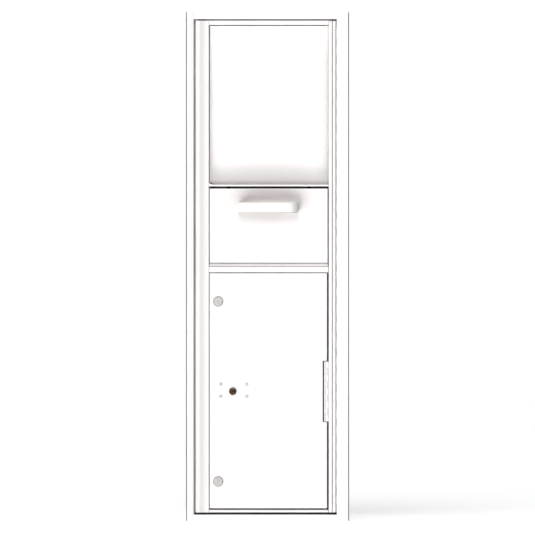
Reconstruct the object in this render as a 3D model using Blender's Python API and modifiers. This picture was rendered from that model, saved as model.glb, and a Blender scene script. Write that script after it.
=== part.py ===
"""Recessed parcel drop box: cabinet, trim, master door, hopper door, access door and their locks.

Metres, +Z up. The front faces -Y and the wall's face is the plane y = 0. The origin is at mid-width on
that plane, level with the cabinet's underside. Each moving piece is parented to an empty on its joint.
"""

import math

import bmesh
import bpy
from mathutils import Matrix, Vector

OBJECT_NAME = "parcel_drop_box"
GAP = 0.0003  # clearance between pieces that touch

# Cabinet and trim
CABINET_X = (-0.2170, 0.2170)
CABINET_Y = (0.0003, 0.4300)
CABINET_Z = (0.0, 1.4540)
CABINET_SHEET = 0.0015
TRIM_X = (-0.2382, 0.2388)
TRIM_Z = (-0.0170, 1.4710)
TRIM_THICKNESS = 0.0032
DOORWAY_X = (-0.2155, 0.2030)
DOORWAY_Z = (0.0015, 1.4500)
SHELF_Z = 1.1000
SHELF_FRONT_Y = 0.1650
SHELF_LIP = 0.0200
FIXING_HOLE_RADIUS = 0.0040
FIXING_HOLES_Y = (0.0700, 0.3600)
FIXING_HOLES_Z = (0.1500, 1.3000)

# Master door frame
DOOR_SHEET = 0.0020
FRAME_FRONT_Y = -0.0030
FRAME_BACK_Y = 0.0170
FRAME_X = (-0.2095, 0.1893)
FRAME_Z = (0.0078, 1.4452)
OPENING_X = (-0.1710, 0.1790)
BOTTOM_RAIL_Z = (FRAME_Z[0], 0.0157)
MIDDLE_RAIL_Z = (0.7094, 0.7270)
TOP_RAIL_Z = (1.4330, FRAME_Z[1])
GROOVE_X = (-0.1995, -0.1825)
GROOVE_DEPTH = 0.0014
EDGE_LIP_Y = (0.0100, 0.0115)  # the lip around the frame's left and top edges
EDGE_LIP_REACH = 0.0042

# Recessed panel
COVE_RADIUS = 0.0660
PANEL_SHEET = 0.0015
LIP_Z = (0.9612, 0.9666)
LIP_RETURN_Y = 0.0260
RECESS_GAP = 0.0026  # the panel sits in the frame with this clearance at the top and left

# Hinges: axis position, barrel radius, pin radius
MASTER_HINGE_XY = (0.1958, 0.0014)
MASTER_BARREL_RADIUS = 0.0043
HOPPER_HINGE_YZ = (0.0014, 0.7318)
HOPPER_BARREL_RADIUS = 0.0043
HOPPER_BARREL_X = (-0.1636, 0.1716)
ACCESS_HINGE_XY = (0.1734, 0.0010)
ACCESS_BARREL_RADIUS = 0.0036
LEAF_SHEET = 0.0015
PIN_RADIUS = 0.0015
PIN_CLEARANCE = 0.0003
BARREL_SIDES = 12
PIN_SIDES = 8

# Hopper
HOPPER_DOOR_X = (-0.1692, 0.1765)
HOPPER_DOOR_Z = (0.7373, 0.9553)
DOOR_FRONT_Y = -0.0028
DOOR_BACK_Y = 0.0132
WING_SHEET = 0.0015
WING_RADIUS = 0.2050
BIN_RADIUS = 0.1432
BIN_BACK = 0.1430  # flat stretch of the wing's rear edge, behind the hinge axis
TRAY_START = (0.0121, 0.0090)  # behind and above the hinge axis
TRAY_TIP = (0.1300, -0.0600)
WING_LEFT_X = (-0.1665, -0.1650)
WING_RIGHT_X = (0.1723, 0.1738)
HOPPER_TRAVEL = 50.0  # degrees
STOP_RADIUS = 0.1380
STOP_TAB_HALF = 0.0040
STOP_TAB_REACH = 0.0040
STOP_PIN_RADIUS = 0.0030
STOP_PIN_REACH = 0.0048
SPRING_POST_RADIUS = 0.0015
SPRING_RADIUS = 0.0024
SPRING_WING_REACH = 0.0042
SPRING_CHEEK_REACH = 0.0055
SPRING_WING_POST = (0.0649, 0.0262)
SPRING_CHEEK_POST = (0.1120, -0.0260)
CHEEK_LEFT_X = (-0.1748, -0.1733)
CHEEK_RIGHT_X = (0.1813, 0.1828)
CHEEK_Y = (0.0005, 0.1495)
CHEEK_Z = (0.6850, 1.0770)
GUARD_Y = (0.1480, 0.1495)
GUARD_Z = (0.7890, 1.0770)
BUMPERS_X = (("left", -0.1140), ("right", 0.1220))
BUMPER_HALF = 0.0060
BUMPER_DEPTH = 0.0063
BUMPER_HEIGHT = 0.0165

# Handle
HANDLE_X = (-0.0874, 0.0906)
HANDLE_Z = (0.8830, 0.9140)
HANDLE_FRONT_Y = -0.0468
HANDLE_BAR = 0.0060
HANDLE_BEND = 0.0280
HANDLE_HOLE_RADIUS = 0.0029
SCREW_RADIUS = 0.0025
SCREW_HEAD_RADIUS = 0.0050
SCREW_BACK_Y = 0.0030

# Access door, its latch and its lock
ACCESS_DOOR_X = (-0.1692, 0.1746)
ACCESS_DOOR_Z = (0.0199, 0.7077)
NOTCH_X = 0.1622
NOTCH_SLOT = 0.0034  # between the notch and the door leaf
NOTCH_Z = (0.2724, 0.4507)
STIFFENER_X = 0.0500
STIFFENER_HALF = 0.0300
STIFFENER_BACK_Y = 0.0120
STIFFENER_INSET = 0.0200  # from the door's ends
WEB_FOOT = 0.0146  # half the hollow's width at the door
WEB_TOP = 0.0108  # and at the crown
WEB_SHIFT = 0.0010  # the outside of the web stands this much wider
GUIDE_X = -0.1440
GUIDE_Z = (0.0985, 0.6246)
GUIDE_HEAD_RADIUS = 0.0150
GUIDE_SHOULDER_RADIUS = 0.0070
GUIDE_SHANK_RADIUS = 0.0040
GUIDE_HEAD_THICKNESS = 0.0020
GUIDE_HEAD_CHAMFER = 0.0015
GUIDE_BACK_Y = 0.0310
GUIDE_NUT_RADIUS = 0.0075
GUIDE_NUT_THICKNESS = 0.0045
LATCH_BAR_X = (-0.1540, -0.1340)
LATCH_BAR_Y = (0.0225, 0.0255)
LATCH_BAR_Z = (0.0520, 0.6500)
LATCH_TRAVEL = 0.0300
LATCH_TAB_X = -0.1660
LATCH_TAB_GAP = 0.0020
LATCH_TAB_HEIGHT = 0.0240
LATCH_ARM_HALF = 0.0090
LATCH_ARM_GAP = 0.0072  # from the arm's end to the lock's axis
PIN_SLOT_END = 0.0040
PIN_SLOT_WALL = 0.0035
PIN_SLOT_CLEARANCE = 0.0013
KEEPERS_Z = (0.1400, 0.3620, 0.5840)
KEEPER_HALF = 0.0120
KEEPER_SHEET = 0.0015
KEEPER_FRONT_Y = 0.0050
KEEPER_BACK_Y = 0.0215
KEEPER_END_X = -0.1580
LOCK_X = -0.1013
LOCK_Z = 0.3620
LOCK_BEZEL_RADIUS = 0.0110
LOCK_BODY_RADIUS = 0.0093
LOCK_PLUG_RADIUS = 0.0070
LOCK_TAIL_RADIUS = 0.0040
LOCK_BACK_Y = 0.0170
LOCK_BEZEL_THICKNESS = 0.0032
LOCK_BEZEL_CHAMFER = 0.0012
LOCK_NUT_RADIUS = 0.0130
LOCK_NUT_THICKNESS = 0.0050
LOCK_TAIL_BACK_Y = 0.0245
PLUG_STEP = 0.0002  # the plug's face stands behind the body's
KEYWAY_HALF = (0.0010, 0.0042)
KEYWAY_DEPTH = 0.0060
CAM_RADII = (0.0085, 0.0055)  # around the plug's tail and around the pin
CAM_Y = (0.0176, 0.0206)
CAM_PIN_RADIUS = 0.0025
CAM_PIN_BACK_Y = 0.0280
RIVETS_X = (-0.1364, -0.0602)
RIVETS_Z = (0.3475, 0.3830)
RIVET_RADIUS = 0.0043
RIVET_SHANK_RADIUS = 0.0024
RIVET_MARGIN = 0.0080  # from a rivet to the support plate's edge

# Master latch
MASTER_LATCH_X = -0.1880
MASTER_LATCH_Z = 0.5450
MASTER_LATCH_Y = (0.0245, 0.0275)
BRIDGE_Y = (0.0173, 0.0193)
BRIDGE_HALF = 0.0250
PIVOT_RADIUS = 0.0040
COLLAR_RADIUS = 0.0070
PIVOT_HEAD_RADIUS = 0.0065
PIVOT_BACK_Y = 0.0305
LEVER_HALF = 0.0070
LEVER_UP = 0.0130
LEVER_DOWN = 0.0170
MASTER_KEEPER_Y = (0.0215, 0.0500)
MASTER_KEEPER_HALF = 0.0150
MASTER_KEEPER_END_X = -0.1990


# ---------------------------------------------------------------- scene and materials


def clear_scene():
    for old in list(bpy.data.objects):
        bpy.data.objects.remove(old, do_unlink=True)


def new_collection(name):
    collection = bpy.data.collections.new(name)
    bpy.context.scene.collection.children.link(collection)
    return collection


def material(name, colour, roughness, metallic):
    made = bpy.data.materials.new(name)
    made.use_nodes = True
    shader = made.node_tree.nodes["Principled BSDF"]
    shader.inputs["Base Color"].default_value = (*colour, 1.0)
    shader.inputs["Roughness"].default_value = roughness
    shader.inputs["Metallic"].default_value = metallic
    return made


clear_scene()
PARTS = new_collection(OBJECT_NAME)
CUTTERS = new_collection("cutters")
WHITE = material("white_powder_coat", (0.90, 0.89, 0.87), 0.45, 0.0)
STEEL = material("zinc_steel", (0.62, 0.62, 0.62), 0.35, 1.0)
LOCK_METAL = material("lock_bronze", (0.16, 0.12, 0.09), 0.35, 1.0)
RUBBER = material("black_rubber", (0.03, 0.03, 0.03), 0.80, 0.0)


# ---------------------------------------------------------------- shape helpers


def joint_empty(name, location):
    empty = bpy.data.objects.new(name, None)
    empty.location = location
    empty.empty_display_size = 0.03
    PARTS.objects.link(empty)
    return empty


def place(obj, made_of, joint=None):
    """Links a piece, gives it its material and hangs it on its joint's empty without moving it."""
    PARTS.objects.link(obj)
    obj.data.materials.append(made_of)
    if joint is not None:
        obj.parent = joint
        obj.matrix_parent_inverse = Matrix.Translation(-joint.location)
    return obj


def mesh_object(name, shape, location=(0, 0, 0)):
    mesh = bpy.data.meshes.new(name)
    shape.to_mesh(mesh)
    shape.free()
    obj = bpy.data.objects.new(name, mesh)
    obj.location = location
    return obj


def block(name, x, y, z):
    """A rectangular block or plate between pairs of x, y and z."""
    shape = bmesh.new()
    size = Matrix.Diagonal((x[1] - x[0], y[1] - y[0], z[1] - z[0], 1.0))
    bmesh.ops.create_cube(shape, size=1.0, matrix=size)
    middle = [(low + high) / 2 for low, high in (x, y, z)]
    return mesh_object(name, shape, middle)


def rod(name, radius, start, end, sides):
    """A round bar from start to end."""
    start = Vector(start)
    along = Vector(end) - start
    turn = along.to_track_quat("Z", "Y").to_matrix().to_4x4()
    shape = bmesh.new()
    bmesh.ops.create_cone(
        shape,
        cap_ends=True,
        segments=sides,
        radius1=radius,
        radius2=radius,
        depth=along.length,
        matrix=turn,
    )
    obj = mesh_object(name, shape, start + along / 2)
    obj.data.shade_smooth()
    obj.data.set_sharp_from_angle(angle=math.radians(40))
    return obj


def arc(centre, radius, start, end, steps):
    """Points on a circle, in degrees, both ends included."""
    turns = [math.radians(start + (end - start) * i / steps) for i in range(steps + 1)]
    return [(centre[0] + radius * math.cos(t), centre[1] + radius * math.sin(t)) for t in turns]


def circle(centre, radius, sides):
    return arc(centre, radius, 0, 360, sides)[:-1]


def rectangle(a, b):
    return [(a[0], b[0]), (a[1], b[0]), (a[1], b[1]), (a[0], b[1])]


# Each plane's name gives the outline's two directions. The piece is extruded along the third.
PLANES = {
    "XY": Matrix.Identity(4),
    "YZ": Matrix(((0, 0, 1, 0), (1, 0, 0, 0), (0, 1, 0, 0), (0, 0, 0, 1))),
    "XZ": Matrix(((1, 0, 0, 0), (0, 0, -1, 0), (0, 1, 0, 0), (0, 0, 0, 1))),
}
NORMALS = {"XY": Vector((0, 0, 1)), "YZ": Vector((1, 0, 0)), "XZ": Vector((0, 1, 0))}


def outline(name, plane, points, span, holes=()):
    """A flat outline, with any holes, made as thick as span along the plane's normal."""
    curve = bpy.data.curves.new(name, "CURVE")
    curve.dimensions = "2D"
    curve.fill_mode = "BOTH"
    curve.extrude = (span[1] - span[0]) / 2
    for ring in (points, *holes):
        spline = curve.splines.new("POLY")
        spline.points.add(len(ring) - 1)
        for point, (u, v) in zip(spline.points, ring):
            point.co = (u, v, 0, 1)
        spline.use_cyclic_u = True
    guide = bpy.data.objects.new(name + "_guide", curve)
    CUTTERS.objects.link(guide)
    graph = bpy.context.evaluated_depsgraph_get()
    mesh = bpy.data.meshes.new_from_object(guide.evaluated_get(graph))
    bpy.data.objects.remove(guide, do_unlink=True)
    bpy.data.curves.remove(curve)
    shape = bmesh.new()
    shape.from_mesh(mesh)
    bpy.data.meshes.remove(mesh)
    bmesh.ops.remove_doubles(shape, verts=shape.verts, dist=1e-6)
    bmesh.ops.transform(shape, matrix=PLANES[plane], verts=shape.verts)
    bmesh.ops.recalc_face_normals(shape, faces=shape.faces)
    return mesh_object(name, shape, NORMALS[plane] * (span[0] + span[1]) / 2)


def turned(name, profile, location, steps=20):
    """A turned piece facing the front. The profile lists (radius, y), front end first."""
    shape = bmesh.new()
    verts = [shape.verts.new((radius, 0, -y)) for radius, y in profile]
    for a, b in zip(verts, verts[1:]):
        shape.edges.new((a, b))
    if profile[0][0] > 0:
        shape.edges.new((verts[-1], verts[0]))
    obj = mesh_object(name, shape, (location[0], 0, location[1]))
    obj.rotation_euler = (math.pi / 2, 0, 0)
    screw = obj.modifiers.new("turn", "SCREW")
    screw.steps = steps
    screw.render_steps = steps
    screw.use_merge_vertices = True
    screw.merge_threshold = 1e-6
    screw.use_smooth_shade = True
    return obj


def boolean(obj, tool, operation, solver="EXACT"):
    """Adds tool to obj or cuts it from obj. The tool is kept as a hidden helper."""
    if tool.name not in CUTTERS.objects:
        CUTTERS.objects.link(tool)
    tool.hide_render = True
    tool.display_type = "WIRE"
    modifier = obj.modifiers.new(operation.lower() + "_" + tool.name, "BOOLEAN")
    modifier.operation = operation
    modifier.solver = solver
    modifier.object = tool


def cut(obj, tool):
    boolean(obj, tool, "DIFFERENCE")


def join(obj, tool, solver="EXACT"):
    boolean(obj, tool, "UNION", solver)


def shifted(centre, polar_radius, degrees):
    """The point at a radius and an angle from centre, the angle counted from the first direction."""
    turn = math.radians(degrees)
    return (centre[0] + polar_radius * math.cos(turn), centre[1] + polar_radius * math.sin(turn))


def capsule(a, radius_a, b, radius_b, steps=5):
    """The outline around two circles of nearly the same size."""
    heading = math.degrees(math.atan2(b[1] - a[1], b[0] - a[0]))
    around_b = arc(b, radius_b, heading - 90, heading + 90, steps)
    around_a = arc(a, radius_a, heading + 90, heading + 270, steps)
    return around_b + around_a


def hex_nut(name, place_at, shank, radius, span):
    """A nut around a shank, with its bore's flats clear of it."""
    sides = 12
    bore = (shank + GAP) / math.cos(math.pi / sides)
    return outline(name, "XZ", circle(place_at, radius, 6), span, [circle(place_at, bore, sides)])


# ---------------------------------------------------------------- hinges


def knuckle_outline(centre, radius, forward, aside, reach):
    """A rolled knuckle: the barrel with its web, which leaves it tangentially on the aside side."""
    web = math.degrees(math.asin((radius - LEAF_SHEET) / radius))
    turns = [math.radians(90 + (270 + web) * i / BARREL_SIDES) for i in range(BARREL_SIDES + 1)]
    local = [(reach, radius)] + [(radius * math.cos(t), radius * math.sin(t)) for t in turns]
    local.append((reach, radius - LEAF_SHEET))
    (ahead_a, ahead_b), (aside_a, aside_b) = forward, aside
    return [(centre[0] + u * ahead_a + v * aside_a, centre[1] + u * ahead_b + v * aside_b) for u, v in local]


def knuckle_spans(span, count):
    """Equal lengths along the hinge with a gap between neighbours."""
    length = (span[1] - span[0]) / count
    return [(span[0] + i * length + GAP / 2, span[0] + (i + 1) * length - GAP / 2) for i in range(count)]


def hinge_leaf(name, plane, plate, plate_span, centre, radius, forward, aside, reach, spans):
    """A leaf plate joined to its own knuckles, each bored for the pin."""
    leaf = outline(name, plane, plate, plate_span)
    ring = knuckle_outline(centre, radius, forward, aside, reach)
    bore = circle(centre, PIN_RADIUS + PIN_CLEARANCE, PIN_SIDES)
    shape = bmesh.new()
    for i, span in enumerate(spans):
        knuckle = outline(f"{name}_knuckle_{i}", plane, ring, span, [bore])
        knuckle.data.transform(Matrix.Translation(knuckle.location))
        shape.from_mesh(knuckle.data)
        bpy.data.objects.remove(knuckle, do_unlink=True)
    join(leaf, mesh_object(name + "_knuckles", shape))
    return leaf


def master_hinge(cabinet_joint, door_joint):
    x, y = MASTER_HINGE_XY
    web_y = (y + MASTER_BARREL_RADIUS - LEAF_SHEET, y + MASTER_BARREL_RADIUS)
    clear = MASTER_BARREL_RADIUS + 0.0004
    spans = knuckle_spans((FRAME_Z[0], FRAME_Z[1]), 9)
    wall = CABINET_X[1] - CABINET_SHEET - GAP
    leaf_back = 0.0320
    cabinet_plate = [
        (x + clear, web_y[0]),
        (wall, web_y[0]),
        (wall, leaf_back),
        (wall - LEAF_SHEET, leaf_back),
        (wall - LEAF_SHEET, web_y[1]),
        (x + clear, web_y[1]),
    ]
    leaf = hinge_leaf(
        "master_hinge_cabinet_leaf", "XY", cabinet_plate, FRAME_Z, MASTER_HINGE_XY, MASTER_BARREL_RADIUS,
        (1, 0), (0, 1), clear + LEAF_SHEET, spans[0::2]
    )
    place(leaf, WHITE, cabinet_joint)
    edge = x - clear
    door_plate = rectangle((edge - LEAF_SHEET, edge), (web_y[0], FRAME_BACK_Y))
    leaf = hinge_leaf(
        "master_hinge_door_leaf", "XY", door_plate, FRAME_Z, MASTER_HINGE_XY, MASTER_BARREL_RADIUS,
        (-1, 0), (0, 1), clear + LEAF_SHEET / 2, spans[1::2]
    )
    place(leaf, WHITE, door_joint)
    pin = rod("master_hinge_pin", PIN_RADIUS, (x, y, FRAME_Z[0]), (x, y, FRAME_Z[1]), PIN_SIDES)
    place(pin, STEEL, cabinet_joint)


def hopper_hinge(frame_joint, door_joint):
    y, z = HOPPER_HINGE_YZ
    clear = HOPPER_BARREL_RADIUS + 0.0004
    spans = knuckle_spans(HOPPER_BARREL_X, 7)
    spans[0] = (HOPPER_DOOR_X[0], spans[0][1])
    spans[-1] = (spans[-1][0], HOPPER_DOOR_X[1])
    low = z - HOPPER_BARREL_RADIUS
    frame_plate = rectangle((y + clear, 0.0240), (low, low + LEAF_SHEET))
    leaf = hinge_leaf(
        "hopper_hinge_rail_leaf", "YZ", frame_plate, HOPPER_BARREL_X, HOPPER_HINGE_YZ, HOPPER_BARREL_RADIUS,
        (1, 0), (0, -1), clear + LEAF_SHEET, spans[0::2]
    )
    place(leaf, WHITE, frame_joint)
    top = HOPPER_DOOR_Z[0] - GAP
    door_plate = rectangle((y + clear, DOOR_BACK_Y), (top - LEAF_SHEET, top))
    leaf = hinge_leaf(
        "hopper_hinge_door_leaf", "YZ", door_plate, HOPPER_BARREL_X, HOPPER_HINGE_YZ, HOPPER_BARREL_RADIUS,
        (1, 0), (0, 1), clear + LEAF_SHEET, spans[1::2]
    )
    place(leaf, WHITE, door_joint)
    pin = rod("hopper_hinge_pin", PIN_RADIUS, (HOPPER_DOOR_X[0], y, z), (HOPPER_DOOR_X[1], y, z), PIN_SIDES)
    place(pin, STEEL, frame_joint)


def access_hinge(frame_joint, door_joint):
    x, y = ACCESS_HINGE_XY
    clear = ACCESS_BARREL_RADIUS + GAP
    length = (NOTCH_Z[0] + 0.0015, NOTCH_Z[1] - 0.0015)
    spans = knuckle_spans(length, 5)
    back = y + ACCESS_BARREL_RADIUS
    frame_plate = rectangle((x + clear, OPENING_X[1] - GAP), (back - LEAF_SHEET, FRAME_BACK_Y))
    leaf = hinge_leaf(
        "access_hinge_frame_leaf", "XY", frame_plate, length, ACCESS_HINGE_XY, ACCESS_BARREL_RADIUS,
        (1, 0), (0, 1), clear + LEAF_SHEET / 2, spans[0::2]
    )
    place(leaf, WHITE, frame_joint)
    front = y - ACCESS_BARREL_RADIUS
    left = NOTCH_X + GAP
    slot = left + NOTCH_SLOT
    door_plate = [
        (x - clear, front),
        (x - clear, front + LEAF_SHEET),
        (slot + LEAF_SHEET, front + LEAF_SHEET),
        (slot + LEAF_SHEET, DOOR_BACK_Y),
        (left, DOOR_BACK_Y),
        (left, DOOR_BACK_Y - LEAF_SHEET),
        (slot, DOOR_BACK_Y - LEAF_SHEET),
        (slot, front),
    ]
    leaf = hinge_leaf(
        "access_hinge_door_leaf", "XY", door_plate, length, ACCESS_HINGE_XY, ACCESS_BARREL_RADIUS,
        (-1, 0), (0, -1), clear + LEAF_SHEET / 2, spans[1::2]
    )
    place(leaf, WHITE, door_joint)
    pin = rod("access_hinge_pin", PIN_RADIUS, (x, y, length[0]), (x, y, length[1]), PIN_SIDES)
    place(pin, STEEL, frame_joint)


# ---------------------------------------------------------------- cabinet and trim


def side_panel(name, x):
    panel = block(name, x, CABINET_Y, CABINET_Z)
    for y in FIXING_HOLES_Y:
        for z in FIXING_HOLES_Z:
            hole = rod(f"{name}_hole", FIXING_HOLE_RADIUS, (x[0] - 0.01, y, z), (x[1] + 0.01, y, z), 12)
            cut(panel, hole)
    return place(panel, WHITE)


def cabinet():
    sheet = CABINET_SHEET
    side_panel("cabinet_left_panel", (CABINET_X[0], CABINET_X[0] + sheet))
    side_panel("cabinet_right_panel", (CABINET_X[1] - sheet, CABINET_X[1]))
    inner_x = (CABINET_X[0] + sheet + GAP, CABINET_X[1] - sheet - GAP)
    place(block("cabinet_top_panel", inner_x, CABINET_Y, (CABINET_Z[1] - sheet, CABINET_Z[1])), WHITE)
    place(block("cabinet_bottom_panel", inner_x, CABINET_Y, (CABINET_Z[0], CABINET_Z[0] + sheet)), WHITE)
    back_z = (CABINET_Z[0] + sheet + GAP, CABINET_Z[1] - sheet - GAP)
    back_y = (CABINET_Y[1] - sheet, CABINET_Y[1])
    place(block("cabinet_back_panel", inner_x, back_y, back_z), WHITE)
    shelf_y = (SHELF_FRONT_Y, back_y[0] - GAP)
    shelf = [
        (shelf_y[0], SHELF_Z + sheet),
        (shelf_y[0], SHELF_Z - SHELF_LIP),
        (shelf_y[0] + sheet, SHELF_Z - SHELF_LIP),
        (shelf_y[0] + sheet, SHELF_Z),
        (shelf_y[1], SHELF_Z),
        (shelf_y[1], SHELF_Z + sheet),
    ]
    place(outline("cabinet_shelf", "YZ", shelf, inner_x), WHITE)


def trim_leg(name, plane, outer, cabinet, inner, span):
    """One leg of the trim. Its back rests on the wall and is relieved over the cabinet's edge."""
    step = cabinet + math.copysign(GAP, outer - cabinet)
    relief = -GAP
    profile = [
        (outer, -TRIM_THICKNESS),
        (inner, -TRIM_THICKNESS),
        (inner, relief),
        (step, relief),
        (step, 0.0),
        (outer, 0.0),
    ]
    if plane == "YZ":
        profile = [(y, z) for z, y in profile]
    place(outline(name, plane, profile, span), WHITE)


def trim():
    inner_x = (DOORWAY_X[0] + GAP, DOORWAY_X[1] - GAP)
    trim_leg("trim_left", "XY", TRIM_X[0], CABINET_X[0], DOORWAY_X[0], TRIM_Z)
    trim_leg("trim_right", "XY", TRIM_X[1], CABINET_X[1], DOORWAY_X[1], TRIM_Z)
    trim_leg("trim_top", "YZ", TRIM_Z[1], CABINET_Z[1], DOORWAY_Z[1], inner_x)
    trim_leg("trim_bottom", "YZ", TRIM_Z[0], CABINET_Z[0], DOORWAY_Z[0], inner_x)


# ---------------------------------------------------------------- master door


def stiles(joint):
    front = FRAME_FRONT_Y
    inside = front + DOOR_SHEET
    back = FRAME_BACK_Y
    left, right = FRAME_X[0], OPENING_X[0]
    slope = GROOVE_DEPTH
    left_stile = [
        (left, front),
        (GROOVE_X[0], front),
        (GROOVE_X[0] + slope, front + GROOVE_DEPTH),
        (GROOVE_X[1] - slope, front + GROOVE_DEPTH),
        (GROOVE_X[1], front),
        (right, front),
        (right, back),
        (right - DOOR_SHEET, back),
        (right - DOOR_SHEET, inside),
        (GROOVE_X[1] + slope / 2, inside),
        (GROOVE_X[1] - slope / 2, inside + GROOVE_DEPTH),
        (GROOVE_X[0] + slope / 2, inside + GROOVE_DEPTH),
        (GROOVE_X[0] - slope / 2, inside),
        (left + DOOR_SHEET, inside),
        (left + DOOR_SHEET, back),
        (left, back),
        (left, EDGE_LIP_Y[1]),
        (left - EDGE_LIP_REACH, EDGE_LIP_Y[1]),
        (left - EDGE_LIP_REACH, EDGE_LIP_Y[0]),
        (left, EDGE_LIP_Y[0]),
    ]
    place(outline("left_stile", "XY", left_stile, FRAME_Z), WHITE, joint)
    left, right = OPENING_X[1], FRAME_X[1]
    right_stile = [
        (left, front),
        (right, front),
        (right, back),
        (right - DOOR_SHEET, back),
        (right - DOOR_SHEET, inside),
        (left + DOOR_SHEET, inside),
        (left + DOOR_SHEET, back),
        (left, back),
    ]
    place(outline("right_stile", "XY", right_stile, FRAME_Z), WHITE, joint)


def rail(name, z, joint):
    front = FRAME_FRONT_Y
    channel = [
        (front, z[0]),
        (FRAME_BACK_Y, z[0]),
        (FRAME_BACK_Y, z[0] + DOOR_SHEET),
        (front + DOOR_SHEET, z[0] + DOOR_SHEET),
        (front + DOOR_SHEET, z[1] - DOOR_SHEET),
        (FRAME_BACK_Y, z[1] - DOOR_SHEET),
        (FRAME_BACK_Y, z[1]),
        (front, z[1]),
    ]
    span = (OPENING_X[0] + GAP, OPENING_X[1] - GAP)
    return place(outline(name, "YZ", channel, span), WHITE, joint)


def top_rail(joint):
    """The top rail, with the set-back lip that runs over the stiles too."""
    made = rail("top_rail", TOP_RAIL_Z, joint)
    top = FRAME_Z[1] + EDGE_LIP_REACH
    root = (OPENING_X[0] + 2 * GAP, OPENING_X[1] - 2 * GAP)
    join(made, block("top_rail_lip_root", root, EDGE_LIP_Y, (FRAME_Z[1] - DOOR_SHEET / 2, top)))
    whole = (FRAME_X[0] - EDGE_LIP_REACH, FRAME_X[1])
    lip_y = (EDGE_LIP_Y[0] - GAP, EDGE_LIP_Y[1] - GAP)
    join(made, block("top_rail_lip", whole, lip_y, (FRAME_Z[1] + GAP, top - GAP)))


def recessed_panel(joint):
    """The panel's roof and back, swept forward in a quarter round to the lip over the hopper door."""
    sheet = PANEL_SHEET
    centre = (0.0, LIP_Z[1] + COVE_RADIUS)
    top = TOP_RAIL_Z[0] - RECESS_GAP
    seen = arc(centre, COVE_RADIUS, 0, -90, 10)
    behind = arc(centre, COVE_RADIUS + sheet, -90, 0, 10)
    lip = [
        (FRAME_FRONT_Y, LIP_Z[1]),
        (FRAME_FRONT_Y, LIP_Z[0]),
        (LIP_RETURN_Y, LIP_Z[0]),
        (LIP_RETURN_Y, LIP_Z[0] + sheet),
        (FRAME_FRONT_Y + sheet, LIP_Z[0] + sheet),
        (FRAME_FRONT_Y + sheet, LIP_Z[1] - sheet),
    ]
    front = FRAME_FRONT_Y + GAP
    roof = [(COVE_RADIUS + sheet, top), (front, top), (front, top - sheet), (COVE_RADIUS, top - sheet)]
    ring = [*roof, *seen, *lip, *behind]
    left = OPENING_X[0] + RECESS_GAP
    right = OPENING_X[1]
    place(outline("recess_panel", "YZ", ring, (left + sheet + GAP, right - GAP)), WHITE, joint)
    wall_z = (LIP_Z[1] - sheet, top)
    wall_back = COVE_RADIUS + sheet
    place(block("recess_left_wall", (left, left + sheet), (front, wall_back), wall_z), WHITE, joint)
    wall_y = (FRAME_BACK_Y + GAP, wall_back)
    place(block("recess_right_wall", (right, right + sheet), wall_y, wall_z), WHITE, joint)


def from_hopper_axis(point):
    return (HOPPER_HINGE_YZ[0] + point[0], HOPPER_HINGE_YZ[1] + point[1])


def tip_angle():
    return math.degrees(math.atan2(TRAY_TIP[1], TRAY_TIP[0]))


def cheek(name, x, inward, joint):
    """A fixed side wall of the bin, with the hopper's stop pin and the spring's post."""
    ring = [
        (CHEEK_Y[0], CHEEK_Z[0]),
        (CHEEK_Y[1] - 0.0300, CHEEK_Z[0]),
        (CHEEK_Y[1], CHEEK_Z[0] + 0.0300),
        (CHEEK_Y[1], CHEEK_Z[1]),
        (CHEEK_Y[0], CHEEK_Z[1]),
    ]
    plate = outline(name, "YZ", ring, x)
    face = x[1] if inward > 0 else x[0]
    tab_half = math.degrees(STOP_TAB_HALF / STOP_RADIUS)
    pin_half = math.degrees((STOP_PIN_RADIUS + GAP) / STOP_RADIUS)
    stop = shifted(HOPPER_HINGE_YZ, STOP_RADIUS, tip_angle() + HOPPER_TRAVEL + 2 * tab_half + pin_half)
    post = from_hopper_axis(SPRING_CHEEK_POST)
    for label, centre, radius, length in (
        ("stop", stop, STOP_PIN_RADIUS, STOP_PIN_REACH),
        ("post", post, SPRING_POST_RADIUS, SPRING_CHEEK_REACH),
    ):
        start = (face - inward * WING_SHEET / 2, *centre)
        end = (face + inward * length, *centre)
        join(plate, rod(f"{name}_{label}", radius, start, end, 10))
    place(plate, WHITE, joint)


def bin_guards(joint):
    cheek("bin_left_cheek", CHEEK_LEFT_X, 1, joint)
    cheek("bin_right_cheek", CHEEK_RIGHT_X, -1, joint)
    x = (CHEEK_LEFT_X[1] + GAP, CHEEK_RIGHT_X[0] - GAP)
    cap_front = COVE_RADIUS + PANEL_SHEET + GAP
    ring = [
        (GUARD_Y[0], GUARD_Z[0]),
        (GUARD_Y[1], GUARD_Z[0]),
        (GUARD_Y[1], GUARD_Z[1]),
        (cap_front, GUARD_Z[1]),
        (cap_front, GUARD_Z[1] - PANEL_SHEET),
        (GUARD_Y[0], GUARD_Z[1] - PANEL_SHEET),
    ]
    place(outline("fishing_guard", "YZ", ring, x), WHITE, joint)


def bumpers(joint):
    y = (DOOR_BACK_Y + GAP, DOOR_BACK_Y + BUMPER_DEPTH)
    z = (LIP_Z[0] - BUMPER_HEIGHT, LIP_Z[0] - GAP)
    for side, x in BUMPERS_X:
        place(block(f"hopper_bumper_{side}", (x - BUMPER_HALF, x + BUMPER_HALF), y, z), RUBBER, joint)


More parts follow.
